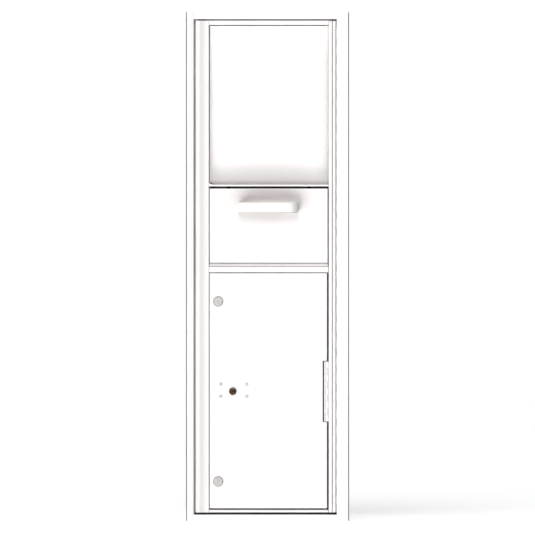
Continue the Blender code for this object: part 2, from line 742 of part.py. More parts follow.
def springs(joint):
    """Closing springs beside the wings, each a plain rod between its two posts."""
    wing_post = Vector(from_hopper_axis(SPRING_WING_POST))
    cheek_post = Vector(from_hopper_axis(SPRING_CHEEK_POST))
    along = (cheek_post - wing_post).normalized()
    inset = SPRING_POST_RADIUS + 0.0005
    start = wing_post + along * inset
    end = cheek_post - along * inset
    for name, x in (
        ("hopper_spring_left", (CHEEK_LEFT_X[1] + WING_LEFT_X[0]) / 2),
        ("hopper_spring_right", (CHEEK_RIGHT_X[0] + WING_RIGHT_X[1]) / 2),
    ):
        place(rod(name, SPRING_RADIUS, (x, *start), (x, *end), 8), STEEL, joint)


# ---------------------------------------------------------------- hopper door


def pan(name, ring, pocket):
    """A folded door skin: a slab of the door's depth, hollowed from behind."""
    skin = outline(name, "XZ", ring, (DOOR_FRONT_Y, DOOR_BACK_Y))
    hollow = outline(name + "_pocket", "XZ", pocket, (DOOR_FRONT_Y + DOOR_SHEET, DOOR_BACK_Y + 0.01))
    cut(skin, hollow)
    return skin


def door_hole(skin, name, x, z, radius, sides=12):
    cut(skin, rod(name, radius, (x, DOOR_FRONT_Y - 0.005, z), (x, DOOR_FRONT_Y + 0.008, z), sides))


def inset_span(span, by):
    return (span[0] + by, span[1] - by)


def handle_legs_x():
    return (HANDLE_X[0] + HANDLE_BAR / 2, HANDLE_X[1] - HANDLE_BAR / 2)


def hopper_panel(joint):
    inner = rectangle(inset_span(HOPPER_DOOR_X, DOOR_SHEET), inset_span(HOPPER_DOOR_Z, DOOR_SHEET))
    skin = pan("hopper_door_panel", rectangle(HOPPER_DOOR_X, HOPPER_DOOR_Z), inner)
    middle = (HANDLE_Z[0] + HANDLE_Z[1]) / 2
    for i, x in enumerate(handle_legs_x()):
        door_hole(skin, f"handle_hole_{i}", x, middle, HANDLE_HOLE_RADIUS)
    place(skin, WHITE, joint)


def handle(joint):
    outer, bar = HANDLE_BEND, HANDLE_BAR
    foot = DOOR_FRONT_Y - GAP
    bend_y = HANDLE_FRONT_Y + outer
    left = (HANDLE_X[0] + outer, bend_y)
    right = (HANDLE_X[1] - outer, bend_y)
    ring = [(HANDLE_X[1], foot)]
    ring += arc(right, outer, 0, -90, 6)
    ring += arc(left, outer, -90, -180, 6)
    ring += [(HANDLE_X[0], foot), (HANDLE_X[0] + bar, foot)]
    ring += arc(left, outer - bar, -180, -90, 6)
    ring += arc(right, outer - bar, -90, 0, 6)
    ring += [(HANDLE_X[1] - bar, foot)]
    place(outline("hopper_handle", "XY", ring, HANDLE_Z), WHITE, joint)
    middle = (HANDLE_Z[0] + HANDLE_Z[1]) / 2
    sheet_back = DOOR_FRONT_Y + DOOR_SHEET + GAP
    profile = [(0, foot + GAP), (SCREW_RADIUS, foot + GAP), (SCREW_RADIUS, sheet_back)]
    profile += [(SCREW_HEAD_RADIUS, sheet_back), (SCREW_HEAD_RADIUS, SCREW_BACK_Y), (0, SCREW_BACK_Y)]
    for name, x in zip(("handle_screw_left", "handle_screw_right"), handle_legs_x()):
        place(turned(name, profile, (x, middle), 12), STEEL, joint)


def wing(name, x, outward, joint):
    """A swinging side wall of the bin, with its stop tab and the spring's post."""
    centre = HOPPER_HINGE_YZ
    flat_angle = math.degrees(math.acos(BIN_BACK / WING_RADIUS))
    front_angle = math.degrees(math.acos(TRAY_START[0] / WING_RADIUS))
    ring = [from_hopper_axis(TRAY_START)]
    ring += arc(centre, BIN_RADIUS, tip_angle(), -math.degrees(math.acos(BIN_BACK / BIN_RADIUS)), 4)
    ring += arc(centre, WING_RADIUS, flat_angle, front_angle, 8)
    plate = outline(name, "YZ", ring, x)
    face = x[0] if outward < 0 else x[1]
    half = math.degrees(STOP_TAB_HALF / STOP_RADIUS)
    inner = arc(centre, STOP_RADIUS - STOP_TAB_HALF, tip_angle(), tip_angle() + 2 * half, 1)
    outer = arc(centre, STOP_RADIUS + STOP_TAB_HALF, tip_angle() + 2 * half, tip_angle(), 1)
    reach = sorted((face - outward * WING_SHEET / 2, face + outward * STOP_TAB_REACH))
    join(plate, outline(f"{name}_tab", "YZ", inner + outer, reach))
    post = from_hopper_axis(SPRING_WING_POST)
    start = (face - outward * WING_SHEET / 2, *post)
    end = (face + outward * SPRING_WING_REACH, *post)
    join(plate, rod(f"{name}_post", SPRING_POST_RADIUS, start, end, 10))
    place(plate, WHITE, joint)


def tray(joint):
    start = Vector(TRAY_START)
    tip = Vector(TRAY_TIP)
    along = (tip - start).normalized()
    below = Vector((along.y, -along.x)) * WING_SHEET
    start += along * WING_SHEET  # keeps the underside's corner off the door
    ring = [from_hopper_axis(p) for p in (start, tip, tip + below, start + below)]
    x = (WING_LEFT_X[1] + GAP, WING_RIGHT_X[0] - GAP)
    place(outline("hopper_tray", "YZ", ring, x), WHITE, joint)


# ---------------------------------------------------------------- access door


def access_panel(joint):
    x, z = ACCESS_DOOR_X, ACCESS_DOOR_Z
    ring = [
        (x[0], z[0]),
        (x[1], z[0]),
        (x[1], NOTCH_Z[0]),
        (NOTCH_X, NOTCH_Z[0]),
        (NOTCH_X, NOTCH_Z[1]),
        (x[1], NOTCH_Z[1]),
        (x[1], z[1]),
        (x[0], z[1]),
    ]
    sheet = DOOR_SHEET
    pocket = [
        (x[0] + sheet, z[0] + sheet),
        (x[1] - sheet, z[0] + sheet),
        (x[1] - sheet, NOTCH_Z[0] - sheet),
        (NOTCH_X - sheet, NOTCH_Z[0] - sheet),
        (NOTCH_X - sheet, NOTCH_Z[1] + sheet),
        (x[1] - sheet, NOTCH_Z[1] + sheet),
        (x[1] - sheet, z[1] - sheet),
        (x[0] + sheet, z[1] - sheet),
    ]
    skin = pan("access_door_panel", ring, pocket)
    for i, guide_z in enumerate(GUIDE_Z):
        door_hole(skin, f"guide_hole_{i}", GUIDE_X, guide_z, GUIDE_SHOULDER_RADIUS + 0.0004)
    for i, (rivet_x, rivet_z) in enumerate(rivet_places()):
        door_hole(skin, f"rivet_hole_{i}", rivet_x, rivet_z, RIVET_SHANK_RADIUS + 0.0004, 8)
    door_hole(skin, "lock_hole", LOCK_X, LOCK_Z, LOCK_BODY_RADIUS + 0.0004, 16)
    place(skin, WHITE, joint)


def stiffener(joint):
    """A hat section behind the door: two flanges, two sloping webs and a crown."""
    flat = DOOR_FRONT_Y + DOOR_SHEET + GAP
    sheet = PANEL_SHEET
    underside = [(-STIFFENER_HALF, flat), (-WEB_FOOT, flat), (-WEB_TOP, STIFFENER_BACK_Y - sheet)]
    underside += [(-u, y) for u, y in reversed(underside)]
    top = [(STIFFENER_HALF, flat + sheet), (WEB_SHIFT + WEB_FOOT, flat + sheet)]
    top.append((WEB_SHIFT + WEB_TOP, STIFFENER_BACK_Y))
    top += [(-u, y) for u, y in reversed(top)]
    ring = [(STIFFENER_X + u, y) for u, y in underside + top]
    z = inset_span(ACCESS_DOOR_Z, STIFFENER_INSET)
    place(outline("access_door_stiffener", "XY", ring, z), WHITE, joint)


def latch_guides(joint):
    """The two shouldered studs that the latch bar slides on, with their nuts."""
    face = DOOR_FRONT_Y - GAP
    front = face - GUIDE_HEAD_THICKNESS
    rim = front + GUIDE_HEAD_THICKNESS / 2
    flat_radius = GUIDE_HEAD_RADIUS - GUIDE_HEAD_CHAMFER
    shank = GUIDE_SHANK_RADIUS
    shoulder = LATCH_BAR_Y[0] - GAP
    stud = [(0, front), (flat_radius, front), (GUIDE_HEAD_RADIUS, rim), (GUIDE_HEAD_RADIUS, face)]
    stud += [(GUIDE_SHOULDER_RADIUS, face), (GUIDE_SHOULDER_RADIUS, shoulder)]
    stud += [(shank, shoulder), (shank, GUIDE_BACK_Y), (0, GUIDE_BACK_Y)]
    nut_y = (LATCH_BAR_Y[1] + GAP, LATCH_BAR_Y[1] + GUIDE_NUT_THICKNESS)
    for name, z in zip(("lower", "upper"), GUIDE_Z):
        place(turned(f"latch_guide_{name}", stud, (GUIDE_X, z), 24), STEEL, joint)
        place(hex_nut(f"latch_nut_{name}", (GUIDE_X, z), shank, GUIDE_NUT_RADIUS, nut_y), STEEL, joint)


def rivet_places():
    return [(x, z) for x in RIVETS_X for z in RIVETS_Z]


def lock_fixed(joint):
    """The lock's body and nut, and the plate behind the door whose four riveted studs hold it."""
    x, z = LOCK_X, LOCK_Z
    face = DOOR_FRONT_Y - GAP
    bore = LOCK_PLUG_RADIUS + 2 * GAP
    front = face - LOCK_BEZEL_THICKNESS
    rim = front + LOCK_BEZEL_CHAMFER
    body = [(bore, front), (LOCK_BEZEL_RADIUS - LOCK_BEZEL_CHAMFER, front), (LOCK_BEZEL_RADIUS, rim)]
    body += [(LOCK_BEZEL_RADIUS, face), (LOCK_BODY_RADIUS, face), (LOCK_BODY_RADIUS, LOCK_BACK_Y)]
    body += [(bore, LOCK_BACK_Y)]
    place(turned("lock_body", body, (x, z), 24), LOCK_METAL, joint)
    behind = DOOR_FRONT_Y + DOOR_SHEET + GAP
    plate_y = (behind, behind + PANEL_SHEET)
    plate_ring = rectangle(inset_span(RIVETS_X, -RIVET_MARGIN), inset_span(RIVETS_Z, -RIVET_MARGIN))
    hole = circle((x, z), LOCK_BODY_RADIUS + 0.0005, 16)
    plate = outline("lock_support_plate", "XZ", plate_ring, plate_y, [hole])
    inside = sum(plate_y) / 2  # the shank ends inside the plate that it joins
    rivet = [(0, face - 0.0012), (0.0024, face - 0.0010), (0.0038, face - 0.0005), (RIVET_RADIUS, face)]
    rivet += [(RIVET_SHANK_RADIUS, face), (RIVET_SHANK_RADIUS, inside), (0, inside)]
    for i, place_at in enumerate(rivet_places()):
        join(plate, turned(f"lock_rivet_{i}", rivet, place_at, 12), "MANIFOLD")
    place(plate, STEEL, joint)
    nut_y = (plate_y[1] + GAP, plate_y[1] + LOCK_NUT_THICKNESS)
    place(hex_nut("lock_nut", (x, z), LOCK_BODY_RADIUS, LOCK_NUT_RADIUS, nut_y), STEEL, joint)


def lock_turning(joint):
    """The plug with its keyway, and the cam whose pin drives the latch bar."""
    front = DOOR_FRONT_Y - GAP - LOCK_BEZEL_THICKNESS + PLUG_STEP
    shoulder = LOCK_BACK_Y + GAP
    profile = [(0, front), (LOCK_PLUG_RADIUS, front), (LOCK_PLUG_RADIUS, shoulder)]
    profile += [(LOCK_TAIL_RADIUS, shoulder), (LOCK_TAIL_RADIUS, LOCK_TAIL_BACK_Y), (0, LOCK_TAIL_BACK_Y)]
    plug = turned("lock_plug", profile, (LOCK_X, LOCK_Z), 16)
    half_x, half_z = KEYWAY_HALF
    slot_x, slot_z = (LOCK_X - half_x, LOCK_X + half_x), (LOCK_Z - half_z, LOCK_Z + half_z)
    cut(plug, block("keyway", slot_x, (front - KEYWAY_DEPTH, front + KEYWAY_DEPTH), slot_z))
    place(plug, LOCK_METAL, joint)
    axis = (LOCK_X, LOCK_Z)
    pin = shifted(axis, LATCH_TRAVEL / math.sqrt(2), 225)
    hole = circle(axis, LOCK_TAIL_RADIUS + 2 * GAP, 12)
    cam = outline("lock_cam", "XZ", capsule(axis, CAM_RADII[0], pin, CAM_RADII[1]), CAM_Y, [hole])
    start, end = (pin[0], sum(CAM_Y) / 2, pin[1]), (pin[0], CAM_PIN_BACK_Y, pin[1])
    join(cam, rod("cam_pin", CAM_PIN_RADIUS, start, end, 10))
    place(cam, STEEL, joint)


def latch_bar(joint):
    """A flat bar with three side tabs, two guide slots and an arm that the cam's pin drives."""
    x, z = LATCH_BAR_X, LATCH_BAR_Z
    left_side = []
    for keeper in reversed(KEEPERS_Z):
        high = keeper - KEEPER_HALF - LATCH_TAB_GAP
        low = high - LATCH_TAB_HEIGHT
        left_side += [(x[0], high), (LATCH_TAB_X, high), (LATCH_TAB_X, low), (x[0], low)]
    pin_z = LOCK_Z - LATCH_TRAVEL / 2
    arm_z = (pin_z - LATCH_ARM_HALF, pin_z + LATCH_ARM_HALF)
    arm_x = LOCK_X - LATCH_ARM_GAP
    ring = [(x[0], z[0]), (x[1], z[0]), (x[1], arm_z[0]), (arm_x, arm_z[0]), (arm_x, arm_z[1])]
    ring += [(x[1], arm_z[1]), (x[1], z[1]), (x[0], z[1]), *left_side]
    half = GUIDE_SHANK_RADIUS + 0.0005
    guide_x = (GUIDE_X - half, GUIDE_X + half)
    slots = [rectangle(guide_x, (guide_z - LATCH_TRAVEL - half, guide_z + half)) for guide_z in GUIDE_Z]
    slot_x = (LOCK_X - LATCH_TRAVEL / math.sqrt(2) - PIN_SLOT_END, arm_x - PIN_SLOT_WALL)
    slot_half = CAM_PIN_RADIUS + PIN_SLOT_CLEARANCE
    slots.append(rectangle(slot_x, (pin_z - slot_half, pin_z + slot_half)))
    place(outline("latch_bar", "XZ", ring, LATCH_BAR_Y, slots), STEEL, joint)


def keepers(joint):
    """Angles on the left stile whose legs the latch bar's tabs slide behind."""
    outer = OPENING_X[0] - DOOR_SHEET - GAP
    inner = outer - KEEPER_SHEET
    ring = [
        (inner, KEEPER_FRONT_Y),
        (outer, KEEPER_FRONT_Y),
        (outer, KEEPER_BACK_Y - KEEPER_SHEET),
        (KEEPER_END_X, KEEPER_BACK_Y - KEEPER_SHEET),
        (KEEPER_END_X, KEEPER_BACK_Y),
        (inner, KEEPER_BACK_Y),
    ]
    for name, z in zip(("lower", "middle", "upper"), KEEPERS_Z):
        place(outline(f"latch_keeper_{name}", "XY", ring, (z - KEEPER_HALF, z + KEEPER_HALF)), STEEL, joint)


# ---------------------------------------------------------------- master latch


def master_latch(cabinet_joint, door_joint, lever_joint):
    """A bridge across the left stile, the lever on its riveted pivot, and the keeper it turns behind."""
    centre = (MASTER_LATCH_X, MASTER_LATCH_Z)
    bridge_z = (MASTER_LATCH_Z - BRIDGE_HALF, MASTER_LATCH_Z + BRIDGE_HALF)
    bridge_ring = rectangle((FRAME_X[0], OPENING_X[0] - DOOR_SHEET), bridge_z)
    hole = circle(centre, PIVOT_RADIUS + 2 * GAP, 12)
    place(outline("master_latch_plate", "XZ", bridge_ring, BRIDGE_Y, [hole]), STEEL, door_joint)
    lever_y = MASTER_LATCH_Y
    collar = BRIDGE_Y[1] + GAP
    washer = (lever_y[0] - GAP, lever_y[1] + GAP)
    pivot = [(0, BRIDGE_Y[0]), (PIVOT_RADIUS, BRIDGE_Y[0]), (PIVOT_RADIUS, collar)]
    pivot += [(COLLAR_RADIUS, collar), (COLLAR_RADIUS, washer[0]), (PIVOT_RADIUS, washer[0])]
    pivot += [(PIVOT_RADIUS, washer[1]), (PIVOT_HEAD_RADIUS, washer[1])]
    pivot += [(PIVOT_HEAD_RADIUS, PIVOT_BACK_Y - 0.0010), (0, PIVOT_BACK_Y)]
    place(turned("master_latch_pivot", pivot, centre, 12), STEEL, door_joint)
    top, bottom = (centre[0], centre[1] + LEVER_UP), (centre[0], centre[1] - LEVER_DOWN)
    ring = capsule(top, LEVER_HALF, bottom, LEVER_HALF)
    place(outline("master_latch_lever", "XZ", ring, lever_y, [hole]), STEEL, lever_joint)
    wall = CABINET_X[0] + CABINET_SHEET + GAP
    front, back = MASTER_KEEPER_Y
    keeper_ring = [
        (wall, front),
        (MASTER_KEEPER_END_X, front),
        (MASTER_KEEPER_END_X, front + DOOR_SHEET),
        (wall + DOOR_SHEET, front + DOOR_SHEET),
        (wall + DOOR_SHEET, back),
        (wall, back),
    ]
    keeper_z = (MASTER_LATCH_Z - MASTER_KEEPER_HALF, MASTER_LATCH_Z + MASTER_KEEPER_HALF)
    place(outline("master_latch_keeper", "XY", keeper_ring, keeper_z), STEEL, cabinet_joint)


# ---------------------------------------------------------------- assembly


def build():
    lock_axis = (LOCK_X, 0.0, LOCK_Z)
    master = joint_empty("master_door_axis", (*MASTER_HINGE_XY, 0.0))
    hopper = joint_empty("hopper_axis", (0.0, *HOPPER_HINGE_YZ))
    access = joint_empty("access_door_axis", (*ACCESS_HINGE_XY, 0.0))
    plug = joint_empty("lock_axis", lock_axis)
    slide = joint_empty("latch_slide", (GUIDE_X, LATCH_BAR_Y[0], GUIDE_Z[0]))
    lever = joint_empty("master_latch_axis", (MASTER_LATCH_X, 0.0, MASTER_LATCH_Z))
    cabinet()
    trim()
    master_hinge(None, master)
    stiles(master)
    rail("bottom_rail", BOTTOM_RAIL_Z, master)
    rail("middle_rail", MIDDLE_RAIL_Z, master)
    top_rail(master)
    recessed_panel(master)
    bin_guards(master)
    bumpers(master)
    springs(master)
    hopper_hinge(master, hopper)
    hopper_panel(hopper)
    handle(hopper)
    wing("hopper_left_wing", WING_LEFT_X, -1, hopper)
    wing("hopper_right_wing", WING_RIGHT_X, 1, hopper)
    tray(hopper)
    access_hinge(master, access)
    access_panel(access)
    stiffener(access)
    latch_guides(access)
    lock_fixed(access)
    lock_turning(plug)
    latch_bar(slide)
    keepers(master)
    master_latch(None, master, lever)


build()
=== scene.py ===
"""Looks of the recessed parcel drop box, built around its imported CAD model.

Every position comes from the CAD nodes' boxes, in metres. The front faces -Y.
"""

import math

import bmesh
import bpy
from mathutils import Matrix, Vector


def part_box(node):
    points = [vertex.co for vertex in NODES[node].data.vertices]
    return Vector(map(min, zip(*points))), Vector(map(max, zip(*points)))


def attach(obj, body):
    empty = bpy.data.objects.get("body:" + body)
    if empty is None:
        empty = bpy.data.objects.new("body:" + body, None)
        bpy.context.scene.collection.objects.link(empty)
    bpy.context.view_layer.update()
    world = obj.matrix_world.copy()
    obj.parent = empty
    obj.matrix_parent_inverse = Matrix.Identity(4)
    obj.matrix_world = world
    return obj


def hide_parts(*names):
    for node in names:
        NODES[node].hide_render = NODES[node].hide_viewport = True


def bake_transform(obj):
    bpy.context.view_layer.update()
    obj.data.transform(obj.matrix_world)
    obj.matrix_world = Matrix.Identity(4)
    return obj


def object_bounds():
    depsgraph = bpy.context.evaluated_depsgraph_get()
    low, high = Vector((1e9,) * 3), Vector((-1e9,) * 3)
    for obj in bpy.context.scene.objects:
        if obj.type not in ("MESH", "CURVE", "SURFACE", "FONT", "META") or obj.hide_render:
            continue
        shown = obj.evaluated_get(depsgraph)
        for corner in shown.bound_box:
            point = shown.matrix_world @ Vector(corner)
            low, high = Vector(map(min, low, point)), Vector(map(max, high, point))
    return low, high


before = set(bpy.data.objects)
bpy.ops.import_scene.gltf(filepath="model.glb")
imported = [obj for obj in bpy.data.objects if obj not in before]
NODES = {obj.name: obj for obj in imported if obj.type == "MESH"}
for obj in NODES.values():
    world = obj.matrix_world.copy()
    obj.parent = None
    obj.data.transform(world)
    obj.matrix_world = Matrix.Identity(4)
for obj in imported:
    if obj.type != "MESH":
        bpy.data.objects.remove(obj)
CAD_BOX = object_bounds()
SCENE = bpy.context.scene
EDGE_ANGLE = 32  # faces that meet at less than this shade as one
SHEET = 0.0015  # of the recess's liner and lip
LIP_HEIGHT = 0.0054
HINGE_SHEET = 0.0015
HINGE_BORE = 0.0018  # the radius inside a knuckle
PIN_RADIUS = 0.0015
BARREL_CLEARANCE = 0.0004  # between a barrel and the flat of a leaf
KNUCKLE_GAP = 0.0003  # at each end of a knuckle
MASTER_KNUCKLES = 57
HOPPER_KNUCKLES = 13
ACCESS_KNUCKLES = 9


# ---------------------------------------------------------------- node trees


class Tree:
    """A short way to write a shader's nodes."""

    def __init__(self, name):
        self.material = bpy.data.materials.new(name)
        self.material.use_nodes = True
        self.nodes = self.material.node_tree.nodes
        self.links = self.material.node_tree.links
        self.shader = self.nodes["Principled BSDF"]
        self.place = self.add("ShaderNodeTexCoord").outputs["Object"]

    def add(self, kind, **inputs):
        node = self.nodes.new(kind)
        for key, value in inputs.items():
            self.put(node.inputs[key.replace("_", " ")], value)
        return node

    def put(self, socket, value):
        if isinstance(value, bpy.types.NodeSocket):
            self.links.new(value, socket)
        else:
            socket.default_value = value

    def noise(self, scale, detail=2.0, roughness=0.5, vector=None):
        node = self.add("ShaderNodeTexNoise", Scale=scale, Detail=detail, Roughness=roughness)
        self.links.new(vector or self.place, node.inputs["Vector"])
        return node.outputs["Fac"]

    def stretched(self, scale):
        node = self.add("ShaderNodeMapping")
        node.inputs["Scale"].default_value = scale
        self.links.new(self.place, node.inputs["Vector"])
        return node.outputs["Vector"]

    def ramp(self, factor, low, high, a=0.3, b=0.7):
        """A colour or grey between low and high, as the factor goes from a to b."""
        node = self.add("ShaderNodeValToRGB")
        stops = node.color_ramp.elements
        for stop, position, colour in ((stops[0], a, low), (stops[1], b, high)):
            stop.position = position
            stop.color = (*colour, 1) if isinstance(colour, tuple) else (colour, colour, colour, 1)
        self.links.new(factor, node.inputs["Fac"])
        return node.outputs["Color"]

    def mix(self, factor, a, b, blend="MIX"):
        node = self.nodes.new("ShaderNodeMix")
        node.data_type = "RGBA"
        node.blend_type = blend
        self.put(node.inputs[0], factor)
        self.put(node.inputs[6], a)
        self.put(node.inputs[7], b)
        return node.outputs[2]

    def bump(self, height, strength, distance, normal=None):
        node = self.add("ShaderNodeBump", Strength=strength, Distance=distance)
        self.links.new(height, node.inputs["Height"])
        if normal:
            self.links.new(normal, node.inputs["Normal"])
        return node.outputs["Normal"]

    def surface(self, **inputs):
        for key, value in inputs.items():
            self.put(self.shader.inputs[key.replace("_", " ")], value)
        return self.material


def powder_coat(name, light, dark, roughness, peel=0.10):
    """White powder coat: orange peel, fine grain, soft handling marks and a little colour drift."""
    t = Tree(name)
    drift = t.ramp(t.noise(3.5, 3.0), dark, light, 0.30, 0.62)
    marks = t.ramp(t.noise(38.0, 6.0, 0.7, t.stretched((1.0, 1.0, 0.35))), 0.955, 1.0, 0.28, 0.44)
    colour = t.mix(1.0, drift, marks, "MULTIPLY")
    specks = t.ramp(t.noise(2600.0, 1.0), 0.93, 1.0, 0.22, 0.34)
    colour = t.mix(1.0, colour, specks, "MULTIPLY")
    gloss = t.ramp(t.noise(26.0, 5.0, 0.6), roughness - 0.06, roughness + 0.08, 0.3, 0.7)
    peel_normal = t.bump(t.noise(420.0, 2.0, 0.45), peel, 0.0006)
    grain_normal = t.bump(t.noise(1900.0, 1.0), peel * 0.6, 0.0002, peel_normal)
    return t.surface(Base_Color=colour, Roughness=gloss, Normal=grain_normal, Specular_IOR_Level=0.45)


def painted_shade_coat(name, base, node, centre, spread, tint, core=0.35):
    """A coat with a soft ellipsoid of tint around a place.

    The tint is painted shade, tuned to the shade's tone there, and is not colour on the coat. The
    tints were tuned to the photo's tones, which may be shadow there and not colour on the coat.
    """
    material = base.copy()
    material.name = name
    nodes, links = material.node_tree.nodes, material.node_tree.links
    shift = nodes.new("ShaderNodeMapping")
    shift.vector_type = "TEXTURE"
    shift.inputs["Location"].default_value = node.matrix_world.inverted() @ centre if node else centre
    shift.inputs["Scale"].default_value = spread
    place = nodes.new("ShaderNodeTexCoord")
    links.new(place.outputs["Object"], shift.inputs["Vector"])
    length = nodes.new("ShaderNodeVectorMath")
    length.operation = "LENGTH"
    links.new(shift.outputs["Vector"], length.inputs[0])
    fade = nodes.new("ShaderNodeMapRange")
    fade.interpolation_type = "SMOOTHSTEP"
    for key, value in (("From Min", core), ("From Max", 1.0), ("To Min", 1.0), ("To Max", 0.0)):
        fade.inputs[key].default_value = value
    links.new(length.outputs["Value"], fade.inputs["Value"])
    shader = nodes["Principled BSDF"]
    before = shader.inputs["Base Color"].links[0].from_socket
    mix = nodes.new("ShaderNodeMix")
    mix.data_type = "RGBA"
    mix.blend_type = "MULTIPLY"
    mix.inputs[7].default_value = (*tint, 1)
    links.new(fade.outputs["Result"], mix.inputs[0])
    links.new(before, mix.inputs[6])
    links.new(mix.outputs[2], shader.inputs["Base Color"])
    return material


def zinc(name, colour, roughness, metallic, streaks=(1.0, 1.0, 30.0), brushed=0.12):
    """Bright zinc plate: a faint spangle, drawn streaks and dull spots."""
    t = Tree(name)
    spangle = t.add("ShaderNodeTexVoronoi", Scale=170.0)
    t.links.new(t.place, spangle.inputs["Vector"])
    dull = tuple(c * 0.82 for c in colour)
    base = t.ramp(spangle.outputs["Color"], dull, colour, 0.1, 0.9)
    spots = t.ramp(t.noise(60.0, 5.0, 0.65), 0.80, 1.0, 0.30, 0.50)
    base = t.mix(1.0, base, spots, "MULTIPLY")
    grain = t.noise(240.0, 3.0, 0.6, t.stretched(streaks))
    gloss = t.ramp(grain, roughness - 0.08, roughness + 0.12, 0.3, 0.7)
    return t.surface(
        Base_Color=base, Metallic=metallic, Roughness=gloss, Normal=t.bump(grain, brushed, 0.0003)
    )


def dark_bronze(name, dark=(0.030, 0.020, 0.014), light=(0.150, 0.092, 0.062)):
    """Lacquered bronze: brown patina with brighter rubbed metal and tiny pits."""
    t = Tree(name)
    patina = t.ramp(t.noise(210.0, 5.0, 0.65), dark, light, 0.34, 0.66)
    rubbed = t.ramp(t.noise(90.0, 2.0), (0.0, 0.0, 0.0), (1.0, 1.0, 1.0), 0.52, 0.70)
    colour = t.mix(rubbed, patina, (0.26, 0.165, 0.115, 1.0))
    gloss = t.ramp(t.noise(320.0, 4.0), 0.24, 0.46)
    normal = t.bump(t.noise(900.0, 2.0), 0.15, 0.0002)
    return t.surface(Base_Color=colour, Metallic=0.85, Roughness=gloss, Normal=normal)


def rubber(name):
    t = Tree(name)
    colour = t.ramp(t.noise(130.0, 4.0), (0.018, 0.018, 0.019), (0.045, 0.044, 0.043))
    normal = t.bump(t.noise(1400.0, 3.0, 0.7), 0.35, 0.0003)
    return t.surface(Base_Color=colour, Roughness=t.ramp(t.noise(90.0), 0.68, 0.85), Normal=normal)


# The edge, dark, underside, hinge and rim shade coats are painted shade: darker coat where shade falls.
WHITE = powder_coat("white_coat", (0.93, 0.918, 0.915), (0.915, 0.900, 0.895), 0.42)
INNER_WHITE = powder_coat("white_coat_inside", (0.90, 0.888, 0.880), (0.86, 0.845, 0.838), 0.50, 0.14)
EDGE_SHADE_COAT = powder_coat("white_coat_painted_edge_shade", (0.62, 0.600, 0.590), (0.50, 0.485, 0.475), 0.46)
DARK_SHADE_COAT = powder_coat("white_coat_painted_dark_shade", (0.15, 0.142, 0.138), (0.11, 0.104, 0.101), 0.50)
UNDERSIDE_SHADE_COAT = powder_coat("white_coat_painted_underside_shade", (0.46, 0.445, 0.437), (0.38, 0.367, 0.360), 0.46)
HINGE_SHADE_COAT = powder_coat("white_coat_painted_hinge_shade", (0.77, 0.755, 0.750), (0.72, 0.705, 0.700), 0.45)
ZINC = zinc("zinc", (0.74, 0.735, 0.735), 0.34, 0.85)
DISC_ZINC = zinc("zinc_disc", (0.635, 0.622, 0.618), 0.60, 0.12, (1.0, 1.0, 1.0), 0.05)
RIM_SHADE_ZINC = zinc("zinc_disc_painted_rim_shade", (0.36, 0.351, 0.348), 0.60, 0.12, (1.0, 1.0, 1.0), 0.05)
SPRING_STEEL = zinc("spring_steel", (0.55, 0.55, 0.56), 0.28, 0.95, (1.0, 1.0, 1.0), 0.04)
BRONZE = dark_bronze("lock_bronze")
PLUG_BRONZE = dark_bronze("lock_bronze_rubbed", (0.045, 0.030, 0.021), (0.18, 0.117, 0.080))
RUBBER = rubber("rubber")


# ---------------------------------------------------------------- mesh helpers


def piece(name, shape, body, materials, replaced=(), angle=EDGE_ANGLE):
    """Turns a bmesh in world coordinates into a piece that rides on a body."""
    bmesh.ops.recalc_face_normals(shape, faces=shape.faces)
    mesh = bpy.data.meshes.new(name)
    shape.to_mesh(mesh)
    shape.free()
    for material in materials:
        mesh.materials.append(material)
    obj = bpy.data.objects.new(name, mesh)
    SCENE.collection.objects.link(obj)
    mesh.shade_smooth()
    mesh.set_sharp_from_angle(angle=math.radians(angle))
    if body:
        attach(obj, body)
    if replaced:
        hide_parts(*replaced)
    return obj


def soften(obj, width, segments=3, edge_material=None, flatness=60):
    """Rounds a piece's sharp edges and shades its flats flat."""
    bevel = obj.modifiers.new("rounded_edges", "BEVEL")
    bevel.width = width
    bevel.segments = segments
    bevel.limit_method = "ANGLE"
    bevel.angle_limit = math.radians(38)
    if edge_material is not None:
        bevel.material = edge_material
    obj.modifiers.new("flat_shading", "WEIGHTED_NORMAL").weight = flatness


def dress(names, materials, width, segments=3, edge_material=None, flatness=60):
    """Gives CAD nodes their materials and softened edges."""
    for name in names:
        node = NODES[name]
        node.data.materials.clear()
        for material in materials:
            node.data.materials.append(material)
        node.modifiers.new("join_corners", "WELD").merge_threshold = 1e-5
        soften(node, width, segments, edge_material, flatness)


def arc(centre, radius, start, end, steps):
    turns = [math.radians(start + (end - start) * i / steps) for i in range(steps + 1)]
    return [(centre[0] + radius * math.cos(t), centre[1] + radius * math.sin(t)) for t in turns]


def loft(shape, rows, closed=False, caps=False):
    """Faces between rows of points. A closed row joins its last point to its first."""
    made = [[shape.verts.new(p) for p in row] for row in rows]
    count = len(made[0])
    for low, high in zip(made, made[1:]):
        for i in range(count if closed else count - 1):
            j = (i + 1) % count
            shape.faces.new((low[i], low[j], high[j], high[i]))
    if caps:
        shape.faces.new(made[0])
        shape.faces.new(reversed(made[-1]))
    return made


def add_prism(shape, outline, span, axis):
    """Extrudes an outline along an axis. Its points are (y, z) for X, (x, z) for Y and (x, y) for Z."""
    if axis == "X":
        rows = [[(s, *p) for p in outline] for s in span]
    elif axis == "Y":
        rows = [[(a, s, b) for a, b in outline] for s in span]
    else:
        rows = [[(*p, s) for p in outline] for s in span]
    loft(shape, rows, closed=True, caps=True)


